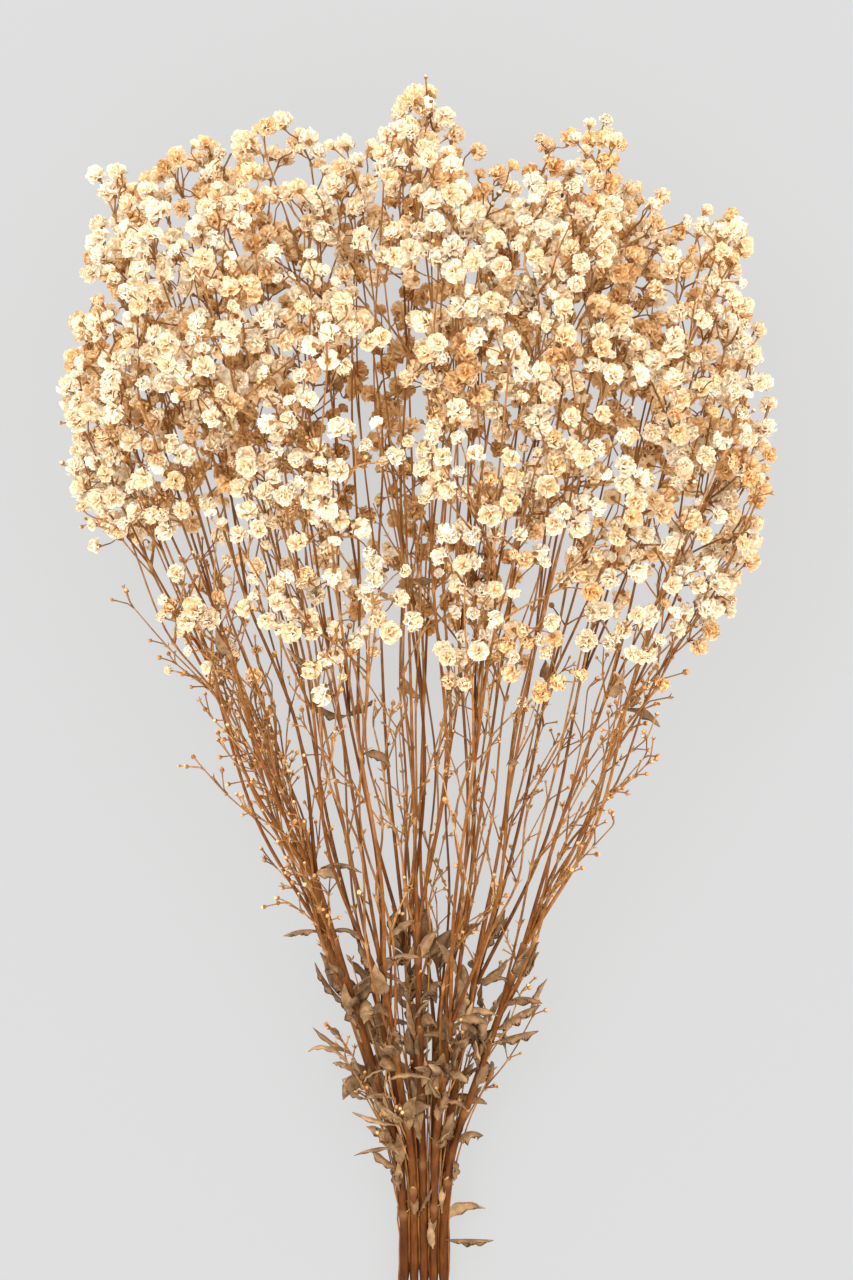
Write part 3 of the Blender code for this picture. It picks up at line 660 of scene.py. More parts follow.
STALK_SIDES = 12
TWIG_SIDES = 6
PEDICEL_SIDES = 4
STALK_STEP = 4.0 * MM
TWIG_STEP = 7.0 * MM
SWELL_REACH = 1.5 * MM
STALK_SWELL = 0.22
TWIG_SWELL = 0.55
STALK_SWELL_REACH = 1.2 * SWELL_REACH
NODE_RINGS = np.array([-1.5, -0.6, 0.0, 0.6, 1.5])
RINGS_APART = 0.1 * MM
STALK_TONES = (0.2, 0.9)
STALK_ALONG = 0.35
STALK_NODE_MARK = 0.33
STALK_TIP_SHARE = 0.5
CUT_SHARES = np.array([1.0, 0.8, 0.4, 0.02])
CUT_DEPTHS = np.array([0.0, 0.12, -0.05, -0.1]) * MM
TWIG_TAPER = 0.8
PEDICEL_RADIUS = 0.27 * MM
PEDICEL_SHARES = np.array([0.0, 0.3, 0.65, 1.0])
PEDICEL_WIDTHS = np.array([1.2, 1.0, 0.95, 1.2])
PEDICEL_ROOT_PULL = 0.35
PEDICEL_NECK_PULL = 0.3
PEDICEL_ALONG = 0.75
TWIG_END_RADIUS = 0.36 * MM
TWIG_SLIMMER = 0.86
LEAD_DRIFT = 0.02


def swollen(line, radii, nodes, share, spread):
    """Radii widened round the nodes, and how near each point is to a node."""
    if not nodes:
        return radii, np.zeros(len(line))
    gaps = np.linalg.norm(line[:, None] - np.asarray(nodes)[None], axis=2).min(axis=1)
    nearness = np.exp(-(gaps / spread) ** 2)
    return radii * (1 + share * nearness), nearness


def dense_near(line, nodes, spread):
    """The line with more points near its nodes, so that their swelling shows as round."""
    travelled = distances(line)
    extra = []
    for node in nodes:
        nearest = np.argmin(np.linalg.norm(line - node, axis=1))
        extra += list(travelled[nearest] + NODE_RINGS * spread)
    wanted = np.unique(np.clip(np.concatenate([travelled, extra]), 0, travelled[-1]))
    wanted = wanted[np.concatenate([[True], np.diff(wanted) > RINGS_APART])]
    return np.stack([np.interp(wanted, travelled, line[:, axis]) for axis in range(3)], axis=1)


def add_stalk(index, wood, stem, rng):
    """A stem's stalk from its cut end to its first fork, with its swollen nodes."""
    nodes = [stalk_point(index, s) for s in stalk_nodes(index)] + [stem["stalk"][-1]]
    line = dense_near(smooth_line(stem["stalk"], STALK_STEP), nodes, STALK_SWELL_REACH)
    shares = shares_along(line)
    radii = STALK_RADIUS + (STALK_TOP_RADIUS - STALK_RADIUS) * shares
    radii, nearness = swollen(line, radii, nodes, STALK_SWELL, STALK_SWELL_REACH)
    radii[-1] *= STALK_TIP_SHARE
    add_tube(wood, line, radii, STALK_SIDES, tone=rng.uniform(*STALK_TONES), along=STALK_ALONG * shares,
             mark=STALK_NODE_MARK * nearness)
    add_cut_end(wood, line[0], unit(line[0] - line[1]))


def add_cut_end(wood, centre, way):
    """Cut face of a stalk, a shallow dished disc."""
    side = across(way, 0.0)
    cosines, sines = circle(STALK_SIDES)
    spokes = cosines[:, None] * side + sines[:, None] * np.cross(way, side)
    rings = spokes[None] * CUT_SHARES[:, None, None] * STALK_RADIUS
    points = centre + rings + way * CUT_DEPTHS[:, None, None]
    wood.add(points, grid(len(CUT_SHARES), STALK_SIDES, True), tone=1.0, along=0.9)


def add_twig(wood, points, start_radius, end_radius, nodes, rng, along):
    """Thinning twig through the points, swollen at its nodes, which are among them."""
    line = smooth_line(points, TWIG_STEP)
    line = dense_near(line, nodes, SWELL_REACH) if nodes else line
    shares = shares_along(line)
    radii = start_radius + (end_radius - start_radius) * shares ** TWIG_TAPER
    radii, nearness = swollen(line, radii, nodes, TWIG_SWELL, SWELL_REACH)
    spread = along[0] + (along[1] - along[0]) * shares
    add_tube(wood, line, radii, TWIG_SIDES, tone=rng.uniform(0, 1), along=spread, mark=nearness)


def add_pedicel(wood, root, heading, neck, facing, radius, rng):
    """Thread-thin stalk that leaves its twig along the heading and meets its blossom along the facing."""
    length = np.linalg.norm(neck - root)
    low = root + heading * length * PEDICEL_ROOT_PULL
    high = neck - facing * length * PEDICEL_NECK_PULL
    t = PEDICEL_SHARES[:, None]
    line = root * (1 - t) ** 3 + 3 * low * t * (1 - t) ** 2 + 3 * high * t ** 2 * (1 - t) + neck * t ** 3
    along = PEDICEL_ALONG + (1 - PEDICEL_ALONG) * PEDICEL_SHARES
    add_tube(wood, line, PEDICEL_WIDTHS * radius, PEDICEL_SIDES, tone=rng.uniform(0, 1), along=along)


# Blossoms

PROTOTYPES = 14
SHUT_OPENING = 0.62
PETAL_ROWS = np.array([0.0, 0.45, 0.8, 1.0])
INNER_PETAL_ROWS = PETAL_ROWS[[0, 2, 3]]
PETAL_OUTLINE = (0.25, 0.85, 1.0, 0.75)
PETAL_COLUMNS = np.array([-1.0, 0.0, 1.0])
# Layers of petals: how many, the angle from the axis at root and tip, and the half width in blossom radii
LAYERS = (
    (6, 1.35, 2.05, 0.40),
    (6, 1.0, 1.55, 0.40),
    (6, 0.65, 1.05, 0.35),
    (4, 0.3, 0.5, 0.32),
    (2, 0.1, -0.1, 0.26),
)
FULL_LAYERS = 1
PETAL_STRAY = 0.25
PETAL_TILT = 0.12
PETAL_LENGTHS = (0.86, 1.1)
PETAL_WIDTHS = (0.85, 1.25)
PETAL_ROOT_OUT = 0.05
PETAL_ROOT_DOWN = 0.35
OUT_POWER = 0.9
UP_POWER = 1.3
BELLY = 0.12
CUP = 0.35
CRUMPLE = 0.11
SIDE_CRUMPLE = 0.04
TIP_RUFFLE = 0.2
RUFFLE_SIDES = np.array([1, -1, 1])
TIP_LENGTHEN = np.array([-0.12, 0.04, -0.10])
TIP_LENGTHEN_SHARES = (0.2, 1.3)
BLOSSOM_RADIUS = 3.8 * MM
CUP_SIDES = 5
# Heights and spreads of the rings of a small cup, in the blossom's or the bud's radii
CALYX = (np.array([-0.95, -0.6, -0.15]), np.array([0.07, 0.25, 0.38]))
BUD_CUP = (np.array([-1.1, -0.5, 0.35]), np.array([0.15, 0.9, 0.85]))
BUD_TIP = (np.array([0.25, 0.9, 1.3]), np.array([0.8, 0.6, 0.02]))
BUD_SPIN = 9.0
STAR_STRAY = 0.1
# Rows of a star's point: how far out, half width and height; the last row's height varies
STAR_ROWS = ((0.1, 0.12, -0.7), (0.5, 0.28, 0.0))
STAR_TIP = (1.0, 0.04)
STAR_TIP_HEIGHTS = (0.25, 0.75)


def petal_points(rng, layer, opening, rows):
    """One petal from the calyx out, crumpled and ruffled, in blossom radii, pointing along +X."""
    _, root_angle, tip_angle, half_width = layer
    angles = (root_angle + (tip_angle - root_angle) * rows) * opening + rng.normal(0, PETAL_TILT)
    tip = rng.uniform(*PETAL_LENGTHS)
    reach_out = np.sin(angles[-1]) * tip * rows ** OUT_POWER
    height = -PETAL_ROOT_DOWN + (np.cos(angles[-1]) * tip + PETAL_ROOT_DOWN) * rows ** UP_POWER
    belly = np.sin(math.pi * rows)[:, None] * BELLY
    width = half_width * np.interp(rows, PETAL_ROWS, PETAL_OUTLINE) * rng.uniform(*PETAL_WIDTHS)
    size = (len(rows), len(PETAL_COLUMNS))
    crumple = rng.normal(0, CRUMPLE, size) * rows[:, None]
    crumple += TIP_RUFFLE * rows[:, None] ** 2 * RUFFLE_SIDES * rng.choice([-1, 1])
    cup = CUP * np.abs(PETAL_COLUMNS) * width[:, None] + crumple
    cosines, sines = np.cos(angles)[:, None], np.sin(angles)[:, None]
    outwards = PETAL_ROOT_OUT + reach_out[:, None] + belly * np.abs(cosines) - cosines * cup
    upwards = height[:, None] - belly * np.abs(sines) / 2 + sines * cup
    lengthen = TIP_LENGTHEN * rng.uniform(*TIP_LENGTHEN_SHARES, 3)
    outwards[-1] += lengthen * math.sin(angles[-1])
    upwards[-1] += lengthen * math.cos(angles[-1])
    sideways = PETAL_COLUMNS[None, :] * width[:, None] + rng.normal(0, SIDE_CRUMPLE, size) * rows[:, None]
    return np.stack([outwards, sideways, upwards], axis=-1)


def blossom_prototype(rng, opening):
    """Points, quads, place along each petal and nearness to the heart of one double blossom."""
    points, quads, along, heart = [], [], [], []
    columns = len(PETAL_COLUMNS)
    count = 0
    for depth, layer in enumerate(LAYERS):
        rows = PETAL_ROWS if depth < FULL_LAYERS else INNER_PETAL_ROWS
        spin = any_angle(rng)
        for k in range(layer[0]):
            angle = spin + math.tau * (k + rng.uniform(-PETAL_STRAY, PETAL_STRAY)) / layer[0]
            petal = petal_points(rng, layer, opening, rows)
            cos, sin = math.cos(angle), math.sin(angle)
            turn = np.array([[cos, sin, 0.0], [-sin, cos, 0.0], [0.0, 0.0, 1.0]])
            quads.append(grid(len(rows), columns, False) + count)
            points.append(petal.reshape(-1, 3) @ turn)
            along.append(np.repeat(rows, columns))
            heart.append(np.full(len(rows) * columns, depth / (len(LAYERS) - 1)))
            count += len(rows) * columns
    return np.concatenate(points), np.concatenate(quads), np.concatenate(along), np.concatenate(heart)


def facing_frame(facing, spin):
    """Three directions square to each other, the last of them the facing."""
    side = across(facing, spin) if abs(facing[2]) < UPRIGHT else ACROSS
    return np.array([side, np.cross(facing, side), facing])


def add_cup(shape, centre, axes, radius, heights_and_spreads, **values):
    """Small cup or cap: rings at the given heights over the centre, as wide as their spreads."""
    heights, spreads = (each[:, None] * np.ones(CUP_SIDES) for each in heights_and_spreads)
    cosines, sines = circle(CUP_SIDES)
    rings = np.stack([cosines * spreads, sines * spreads, heights], axis=-1)
    shape.add(centre + rings.reshape(-1, 3) * radius @ axes, grid(len(heights), CUP_SIDES, True), **values)


def add_blossom(petals, wood, prototype, centre, facing, radius, tone, spin):
    """A copy of a prototype blossom, with its calyx."""
    points, quads, along, heart = prototype
    axes = facing_frame(facing, spin)
    petals.add(centre + points * radius @ axes, quads, tone=tone, along=along, mark=heart)
    add_cup(wood, centre, axes, radius, CALYX, tone=0.3, along=0.8, mark=0.25)


def add_small_bud(wood, petals, centre, facing, radius, tone):
    """Unopened bud: a toothed brown cup with a rounded pale tip."""
    axes = facing_frame(facing, tone * BUD_SPIN)
    add_cup(wood, centre, axes, radius, BUD_CUP, tone=tone, along=0.55, mark=0.3)
    add_cup(petals, centre, axes, radius, BUD_TIP, tone=tone, along=0.4, mark=0.3)


def add_star(wood, centre, facing, radius, rng):
    """Empty calyx, dried open into a five-pointed star."""
    axes = facing_frame(facing, any_angle(rng))
    for k in range(CUP_SIDES):
        angle = math.tau * (k + rng.uniform(-STAR_STRAY, STAR_STRAY)) / CUP_SIDES
        out = np.array([math.cos(angle), math.sin(angle), 0.0])
        side = np.array([-math.sin(angle), math.cos(angle), 0.0])
        points = []
        for along, width, height in (*STAR_ROWS, (*STAR_TIP, rng.uniform(*STAR_TIP_HEIGHTS))):
            points += [out * along + side * width * way + UP * height for way in (-1, 1)]
        points = centre + np.array(points) * radius @ axes
        wood.add(points, grid(len(STAR_ROWS) + 1, 2, False), tone=0.8, along=0.9, mark=0.6)


# Clusters: the real blossoms round each solid one

FILLERS = 66
FILLER_TRIES = 6000
FILLER_APART = 11.5 * MM
FILLER_WEIGHTS = np.array([1.0, 0.45, 1.0])
FILLER_OVER_FORK = 15.0 * MM
CLUSTER = 9
FILLER_CLUSTER = 6
CLUSTER_SPREAD = np.array([8.4, 7.6, 8.4]) * MM
CLUSTER_OUT = 3.5 * MM
CLUSTER_REACH = 15.0 * MM
CLUSTER_TRIES = 160
BLOSSOM_APART = 6.3 * MM
WALL_APART = 2.8 * MM
OVER_WALL = 2.2 * MM
# Clusters are smaller near the head's lower edge, its outside and its top
FRINGE = 28.0 * MM
FRINGE_CLUSTER = 5
OUTER_PART = 0.7
OUTER_CLUSTER = 6
CREST = 34.0 * MM
CREST_CLUSTER = 5
# Strays: a few small blossoms that stand out there
STRAYS = 3
STRAY_TRIES = 12
STRAY_SPREAD = 6.0 * MM
STRAY_ASIDE = 9.0 * MM
STRAY_RISE = (2.0 * MM, 11.0 * MM)
STRAY_APART = 8.0 * MM
STRAY_OUT = 2.0 * MM
STRAY_SIZES = (0.6, 0.95)
# Sizes in blossom radii: small ones, the others, and the size below which one is still half shut
SMALL_SHARE = 0.24
SMALL_SIZES = (0.55, 0.8)
FULL_SIZES = (0.88, 1.12)
SHUT_BELOW = 0.82
FACE_OUT = 0.25
FACE_SPREAD = 0.38
# How brown a cluster is by chance, plus painted shade that browns the clusters deep in the head and on its
# underside
CHANCE_TONE = 0.6
CHANCE_CURVE = (1.3, 5)
DEEP_PAINTED_SHADE = 0.3
DEEP_INWARDS = 2.2
DEEP_DOWN = 4
UNDER_PAINTED_SHADE = 0.46
UNDER_FROM = 0.12
UNDER_SPAN = 0.36
TONE_SPREAD = 0.13
CLUSTER_BUDS = 2
CLUSTER_BUD_ALONG = (0.5, 1.3)
CLUSTER_BUD_WAVER = 3.5 * MM
CLUSTER_BUD_RADII_MM = (0.75, 1.25)
CLUSTER_BUD_TONES = (0.2, 0.9)
CLUSTER_BUD_APART = 4.5 * MM
CLUSTER_NODE = 11.0 * MM
CLUSTER_NODE_SHARE = 0.55
CLUSTER_BRACT = 1.1 * MM
LEAD_ALONG = (0.3, 0.75)
SHORT_LEAD_ALONG = (0.6, 0.75)
SPRAY_SHARE = 0.45
SPRAY_WAVER = 0.35 * MM
SPRAY_RADIUS = 0.38 * MM
SPRAY_MANY = 6
NECK_SHARE = 0.85
PEDICEL_LEAD = 0.8
BRACT_LEANS = (0.5, 1.4)
BRACT_LENGTH = 2.0
BRACT_OUT = 0.3
BRACT_FOLD = 0.12
BRACT_OUTLINE = ((0.0, 0.55), (0.45, 0.6), (0.8, 0.3), (1.0, 0.04))


def add_fillers(stems):
    """Thin branches to hollows of the head, each from its stem's nearest fork below."""
    rng = np.random.default_rng(FILLER_SEED)
    centres = np.array([place for stem in stems for _, place, _ in stem["branches"]])
    placed = 0
    for _ in range(FILLER_TRIES):
        point = raised(random_place(rng), BLOOM_RADIUS)
        cell = cell_of(point)
        apart = np.linalg.norm((centres - point) * FILLER_WEIGHTS, axis=1).min()
        if apart < FILLER_APART or wall_distance(point, cell) < WALL_APART:
            continue
        below = [fork for fork, _, level in stems[cell]["forks"]
                 if level > 0 and fork[2] < point[2] - FILLER_OVER_FORK]
        if not below:
            continue
        root = min(below, key=lambda fork: np.linalg.norm(fork - point))
        stems[cell]["fillers"].append(([(root, TWIG_RADIUS[2])], point, BLOOM_RADIUS))
        centres = np.vstack([centres, point])
        placed += 1
        if placed == FILLERS:
            break


def beyond_head(point, over=0.0):
    """Whether a point lies further out of the head than a cluster may reach, and over."""
    slopes = point[:2] / point[2]
    aside = (roundness(*slopes) - 1) * REACH_SLOPES[-1] * point[2]
    return aside > CLUSTER_OUT + over or point[2] > reach(*slopes) + over


def apart_from(point, places):
    """Distance from a point to the nearest of the places."""
    return np.linalg.norm(np.array(places) - point, axis=1).min() if places else math.inf


def strays(index, place, taken, rng):
    """Places and radii of a few small blossoms that stand out from the head on long stalks."""
    found = []
    for _ in range(STRAY_TRIES):
        shift = np.array([*rng.normal(0, STRAY_SPREAD, 2), rng.uniform(*STRAY_RISE)])
        point = place + shift + outward(place) * rng.uniform(0, STRAY_ASIDE)
        inside = free(point, index, WALL_APART) and not beyond_head(point, STRAY_OUT)
        if inside and apart_from(point, taken) > STRAY_APART:
            found.append((point, BLOSSOM_RADIUS * rng.uniform(*STRAY_SIZES)))
            taken = taken + [point]
        if len(found) == STRAYS:
            break
    return found


def cluster_places(index, place, count, taken, rng):
    """Places and radii of the real blossoms round a solid one, apart from those already there."""
    found = []
    for attempt in range(CLUSTER_TRIES):
        if len(found) == count:
            break
        sizes = SMALL_SIZES if rng.uniform() < SMALL_SHARE else FULL_SIZES
        radius = BLOSSOM_RADIUS * rng.uniform(*sizes)
        point = place + (rng.normal(0, 1, 3) * CLUSTER_SPREAD if attempt else 0.0)
        if np.linalg.norm(point - place) > CLUSTER_REACH or beyond_head(point):
            continue
        others = taken + [found_point for found_point, _ in found]
        low = to_world(point)[2] - radius
        inside = wall_distance(point, index) > -OVER_WALL
        if inside and low > 0 and apart_from(point, others) > BLOSSOM_APART:
            found.append((point, radius))
    return found


def spray(wood, root, heading, targets, rng):
    """Forks from a root to every target, all in the bunch's coordinates.

    A target is the place of a blossom or bud, its neck and its facing.
    """
    if len(targets) <= 2:
        for _, neck, facing in targets:
            lead = unit(heading + PEDICEL_LEAD * unit(neck - root))
            add_pedicel(wood, *posed(root, lead), *posed(neck, facing), PEDICEL_RADIUS, rng)
        return
    points = np.array([place for place, _, _ in targets])
    for members in split(points, root, 3 if len(targets) >= SPRAY_MANY else 2):
        chosen = [targets[m] for m in members]
        if len(chosen) == 1:
            spray(wood, root, heading, chosen, rng)
            continue
        child = root + SPRAY_SHARE * (points[members].mean(axis=0) - root)
        middle = (root + child) / 2 + rng.normal(0, SPRAY_WAVER, 3)
        lead = unit(heading + unit(middle - root))
        way = unit(child - root)
        add_pedicel(wood, *posed(root, lead), *posed(child, way), SPRAY_RADIUS, rng)
        spray(wood, child, way, chosen, rng)


def add_bracts(wood, node, heading, size, rng):
    """Pair of tiny dry scale leaves on a node."""
    angle = any_angle(rng)
    for turn in (0.0, math.pi):
        side = across(heading, angle + turn)
        square = np.cross(heading, side)
        way = unit(heading + side * rng.uniform(*BRACT_LEANS))
        lift = heading * size * BRACT_FOLD
        points = []
        for t, width in BRACT_OUTLINE:
            middle = node + way * size * BRACT_LENGTH * t + side * size * BRACT_OUT
            aside = square * width * size
            points += [middle - aside, middle - lift, middle + aside, middle + lift]
        wood.add(np.array(points), grid(len(BRACT_OUTLINE), 4, True),
                 tone=rng.uniform(0, 1), along=0.85, mark=0.9)


def cluster_tone_and_shade(place, rng):
    """How brown a cluster is at random, with painted shade added deep in the head and on its underside."""
    slopes = place[:2] / place[2]
    inwards = max(0.0, 1 - roundness(*slopes)) * DEEP_INWARDS
    down = max(0.0, 1 - place[2] / reach(*slopes)) * DEEP_DOWN
    under = np.clip((UNDER_FROM - slopes[1]) / UNDER_SPAN, 0, 1)
    # Painted shade: clusters deep inside the head and on its underside are browned as if shaded; only the
    # beta draw is their own colour
    return rng.beta(*CHANCE_CURVE) * CHANCE_TONE + DEEP_PAINTED_SHADE * min(inwards, down) + UNDER_PAINTED_SHADE * under


def add_cluster_buds(index, place, node, near, wood, petals, rng):
    """A few buds among a cluster's blossoms, as targets for its spray."""
    targets = []
    for _ in range(rng.integers(CLUSTER_BUDS + 1)):
        point = node + (place - node) * rng.uniform(*CLUSTER_BUD_ALONG) + rng.normal(0, CLUSTER_BUD_WAVER, 3)
        radius = rng.uniform(*CLUSTER_BUD_RADII_MM) * MM
        if apart_from(point, near) > CLUSTER_BUD_APART and free(point, index, radius):
            facing = unit(point - node)
            add_small_bud(wood, petals, *posed(point, facing), radius, rng.uniform(*CLUSTER_BUD_TONES))
            targets.append((point, point - facing * radius, facing))
    return targets


def dress_clusters(index, stem, wood, petals, prototypes, taken, rng):
    """Real blossoms, buds and the thin twigs that carry them, in place of each solid blossom."""
    wanted = [CLUSTER] * len(stem["branches"]) + [FILLER_CLUSTER] * len(stem["fillers"])
    for (route, place, _), count in zip(stem["branches"] + stem["fillers"], wanted):
        slopes = place[:2] / place[2]
        outer = roundness(*slopes) > OUTER_PART
        crest = place[2] > reach(*slopes) - CREST
        if place[2] < hem(*slopes) + FRINGE:
            count = FRINGE_CLUSTER
        if outer:
            count = min(count, OUTER_CLUSTER)
        if crest:
            count = min(count, CREST_CLUSTER)
        root = route[-1][0]
        heading = unit(place - root)
        node = place - heading * min(CLUSTER_NODE, CLUSTER_NODE_SHARE * np.linalg.norm(place - root))
        near = [point for point in taken if abs(point - place).max() < 2 * CLUSTER_REACH]
        found = cluster_places(index, place, count, near, rng)
        if crest or outer:
            found += strays(index, place, near + [point for point, _ in found], rng)
        near += [point for point, _ in found]
        taken += [point for point, _ in found]
        # The cluster's tone carries its random browning and its painted shade deep in the head and underneath
        shared_tone_and_shade = cluster_tone_and_shade(place, rng)
        targets = []
        for point, radius in found:
            facing = unit(unit(point - node) + FACE_OUT * outward(place) + rng.normal(0, FACE_SPREAD, 3))
            tone = float(np.clip(shared_tone_and_shade + rng.normal(0, TONE_SPREAD), 0, 1))
            shut = radius < SHUT_BELOW * BLOSSOM_RADIUS
            chosen = prototypes[rng.integers(PROTOTYPES // 2) + (PROTOTYPES // 2 if shut else 0)]
            add_blossom(petals, wood, chosen, *posed(point, facing), radius, tone, any_angle(rng))
            targets.append((point, point - facing * radius * NECK_SHARE, facing))
        targets += add_cluster_buds(index, place, node, near, wood, petals, rng)
        drift = rng.normal(0, LEAD_DRIFT, 3) * np.linalg.norm(node - root)
        lead = [to_world(p) for p, _ in route] + [to_world((root + node) / 2 + drift), to_world(node)]
        nodes = [to_world(p) for p, radius in route if radius in FORK_RADIUS] + [to_world(node)]
        add_twig(wood, lead, TWIG_SLIMMER * route[0][1], TWIG_END_RADIUS, nodes, rng,
                 LEAD_ALONG if len(route) > 1 else SHORT_LEAD_ALONG)
        add_bracts(wood, *posed(node, heading), CLUSTER_BRACT, rng)
        spray(wood, node, heading, targets, rng)


# Bare sprigs: thin side twigs that end in tiny buds

SPRIGS_A_STEM = 16
SPRIG_LENGTHS_MM = (9.0, 24.0)
SPRIG_ANGLES = (0.45, 1.1)
SPRIG_UP = 0.25
SPRIG_NODE = 0.55
SPRIG_ROOM = 1.5 * MM
SPRIG_RADII = (0.42 * MM, 0.26 * MM)
SPRIG_ALONG = (0.55, 0.9)
SPRIG_BRACT = 0.8 * MM
SPRIG_BUDS = (1, 4)
SPRIG_BUD_ANGLE = 0.6
SPRIG_BUD_STALKS_MM = (3.0, 6.0)
SPRIG_BUD_STALK_RADIUS = 0.2 * MM
SPRIG_BUD_HEIGHT = 2.0 * MM
SPRIG_BUD_RADII_MM = (0.6, 1.0)
SPRIG_BUD_TONES = (0.5, 1)
SOLID_BUD_RADIUS = 1.35 * MM
SOLID_BUD_TWIG_RADII = (0.42 * MM, 0.3 * MM)
SOLID_BUD_TONES = (0.3, 1)
SOLID_BUD_ALONG = (0.6, 0.9)
SOLID_BUD_WAVER = 0.5 * MM


def dress_sprigs(index, stem, wood, petals, rng):
    """The solid's side twigs with a bud, and more sprigs from the forks with a few tiny buds."""
    for foot, bud in stem["buds"]:
        middle = (foot + bud) / 2 + rng.normal(0, SOLID_BUD_WAVER, 3)
        points = [to_world(point) for point in (foot, middle, bud)]
        add_twig(wood, points, *SOLID_BUD_TWIG_RADII, [], rng, SOLID_BUD_ALONG)
        add_small_bud(wood, petals, *posed(bud, unit(bud - foot)), SOLID_BUD_RADIUS,
                      rng.uniform(*SOLID_BUD_TONES))
    for _ in range(SPRIGS_A_STEM):
        foot, heading, _ = stem["forks"][rng.integers(len(stem["forks"]))]
        way = turned_off(heading, SPRIG_ANGLES, rng)
        length = rng.uniform(*SPRIG_LENGTHS_MM) * MM
        tip = foot + way * length + heading * length * SPRIG_UP
        if not free(tip, index, SPRIG_ROOM):
            continue
        middle = foot + way * length * SPRIG_NODE
        along = unit(tip - middle)
        points = [to_world(point) for point in (foot, middle, tip)]
        add_twig(wood, points, *SPRIG_RADII, points[1:2], rng, SPRIG_ALONG)
        add_bracts(wood, *posed(middle, way), SPRIG_BRACT, rng)
        for _ in range(rng.integers(*SPRIG_BUDS)):
            start = middle + (tip - middle) * rng.uniform(0, 1)
            turned = rotated(along, across(along, any_angle(rng)), SPRIG_BUD_ANGLE)
            bud = start + turned * rng.uniform(*SPRIG_BUD_STALKS_MM) * MM
            if wall_distance(bud, index) > SPRIG_ROOM and to_world(bud)[2] > SPRIG_BUD_HEIGHT:
                add_pedicel(wood, *posed(start, along), *posed(bud, turned), SPRIG_BUD_STALK_RADIUS, rng)
                add_small_bud(wood, petals, *posed(bud, turned), rng.uniform(*SPRIG_BUD_RADII_MM) * MM,
                              rng.uniform(*SPRIG_BUD_TONES))


# Side shoots: thin branched sprays from a stalk up into the lower head, bent at their nodes

SHOOTS = 3
OUTER_SHOOTS = 6
OUTER_STEM = 0.28
OUTER_WIDER = 0.09
SHOOT_TOPS_MM = (200.0, 320.0)
SHOOT_START = (0.6, 1.0)
SHOOT_SPREAD = np.array([0.085, 0.05])
SHOOT_TRIES = 30
SHOOT_ROOM = 1.4 * MM
SHOOT_NODES = (4, 2)
SHOOT_BEND = 0.022
SHOOT_RADII = (0.62 * MM, 0.40 * MM, 0.28 * MM)
SHOOT_ALONG = ((0.4, 0.75), (0.6, 0.9))
SHOOT_BRACTS = (1.3 * MM, 0.9 * MM)
SHOOT_NODE_STRAY = 0.25
SHOOT_BENDS = (0.3, 1.0)
SHOOT_TIPS = 3
SIDES_A_NODE = (1, 3)
SIDE_TURNS = (0.35, 0.8)
SIDE_LENGTHS = (0.16, 0.36)
TIP_LENGTHS_MM = (5.0, 12.0)
TIP_ROOM = 2.0 * MM
SHOOT_BLOSSOMS = 225.0 * MM
LOW_SPRIGS = 2
LOW_START = (0.08, 0.5)
LOW_LENGTHS = (28.0 * MM, 55.0 * MM)
LOW_LEAN = (0.08, 0.3)
LOW_SIDEWAYS = (-0.5, 0.5)
LOW_LEAF_WIDTH = 0.6
STAR_SHARE = 0.22
STAR_RADII_MM = (1.1, 1.9)
BLOSSOM_SHARE = 0.42
TIP_BLOSSOM_SIZES = (0.5, 0.95)
TIP_BLOSSOM_TONES = (0.0, 0.6)
TIP_NECK_SHARE = 0.9
TIP_BUD_RADII_MM = (0.6, 1.15)
TIP_BUD_TONES = (0.55, 1)


def shoot_axis(index, start, heading, length, count, rng):
    """A twig's foot, nodes and end, bent to alternate sides at its nodes, or None where it finds no room."""
    bend = across(heading, any_angle(rng))
    numbers = np.arange(count)
    shares = (numbers + 1 + rng.uniform(-SHOOT_NODE_STRAY, SHOOT_NODE_STRAY, count)) / (count + 1)
    turns = np.where(numbers % 2, -1, 1) * rng.uniform(*SHOOT_BENDS, count) * SHOOT_BEND * length
    places = [start + heading * length * share + bend * turn for share, turn in zip(shares, turns)]
    places.append(start + heading * length)
    fits = all(free(place, index, SHOOT_ROOM) and not beyond_head(place) for place in places)
    return [start] + places if fits else None


def dress_tip(index, root, heading, wood, petals, prototypes, rng):
    """A bud, an empty star or a small blossom on a short stalk of its own."""
    way = turned_off(heading, SIDE_TURNS, rng)
    tip = root + way * rng.uniform(*TIP_LENGTHS_MM) * MM
    if not free(tip, index, TIP_ROOM):
        return
    place, facing = posed(tip, way)
    add_pedicel(wood, *posed(root, heading), place, facing, PEDICEL_RADIUS, rng)
    if rng.uniform() < STAR_SHARE:
        add_star(wood, place, facing, rng.uniform(*STAR_RADII_MM) * MM, rng)
    elif rng.uniform() < BLOSSOM_SHARE and tip[2] > SHOOT_BLOSSOMS:
        radius = BLOSSOM_RADIUS * rng.uniform(*TIP_BLOSSOM_SIZES)
        chosen = prototypes[rng.integers(PROTOTYPES)]
        add_blossom(petals, wood, chosen, place + facing * radius * TIP_NECK_SHARE, facing, radius,
                    rng.uniform(*TIP_BLOSSOM_TONES), any_angle(rng))
    else:
        radius = rng.uniform(*TIP_BUD_RADII_MM) * MM
        add_small_bud(wood, petals, place, facing, radius, rng.uniform(*TIP_BUD_TONES))


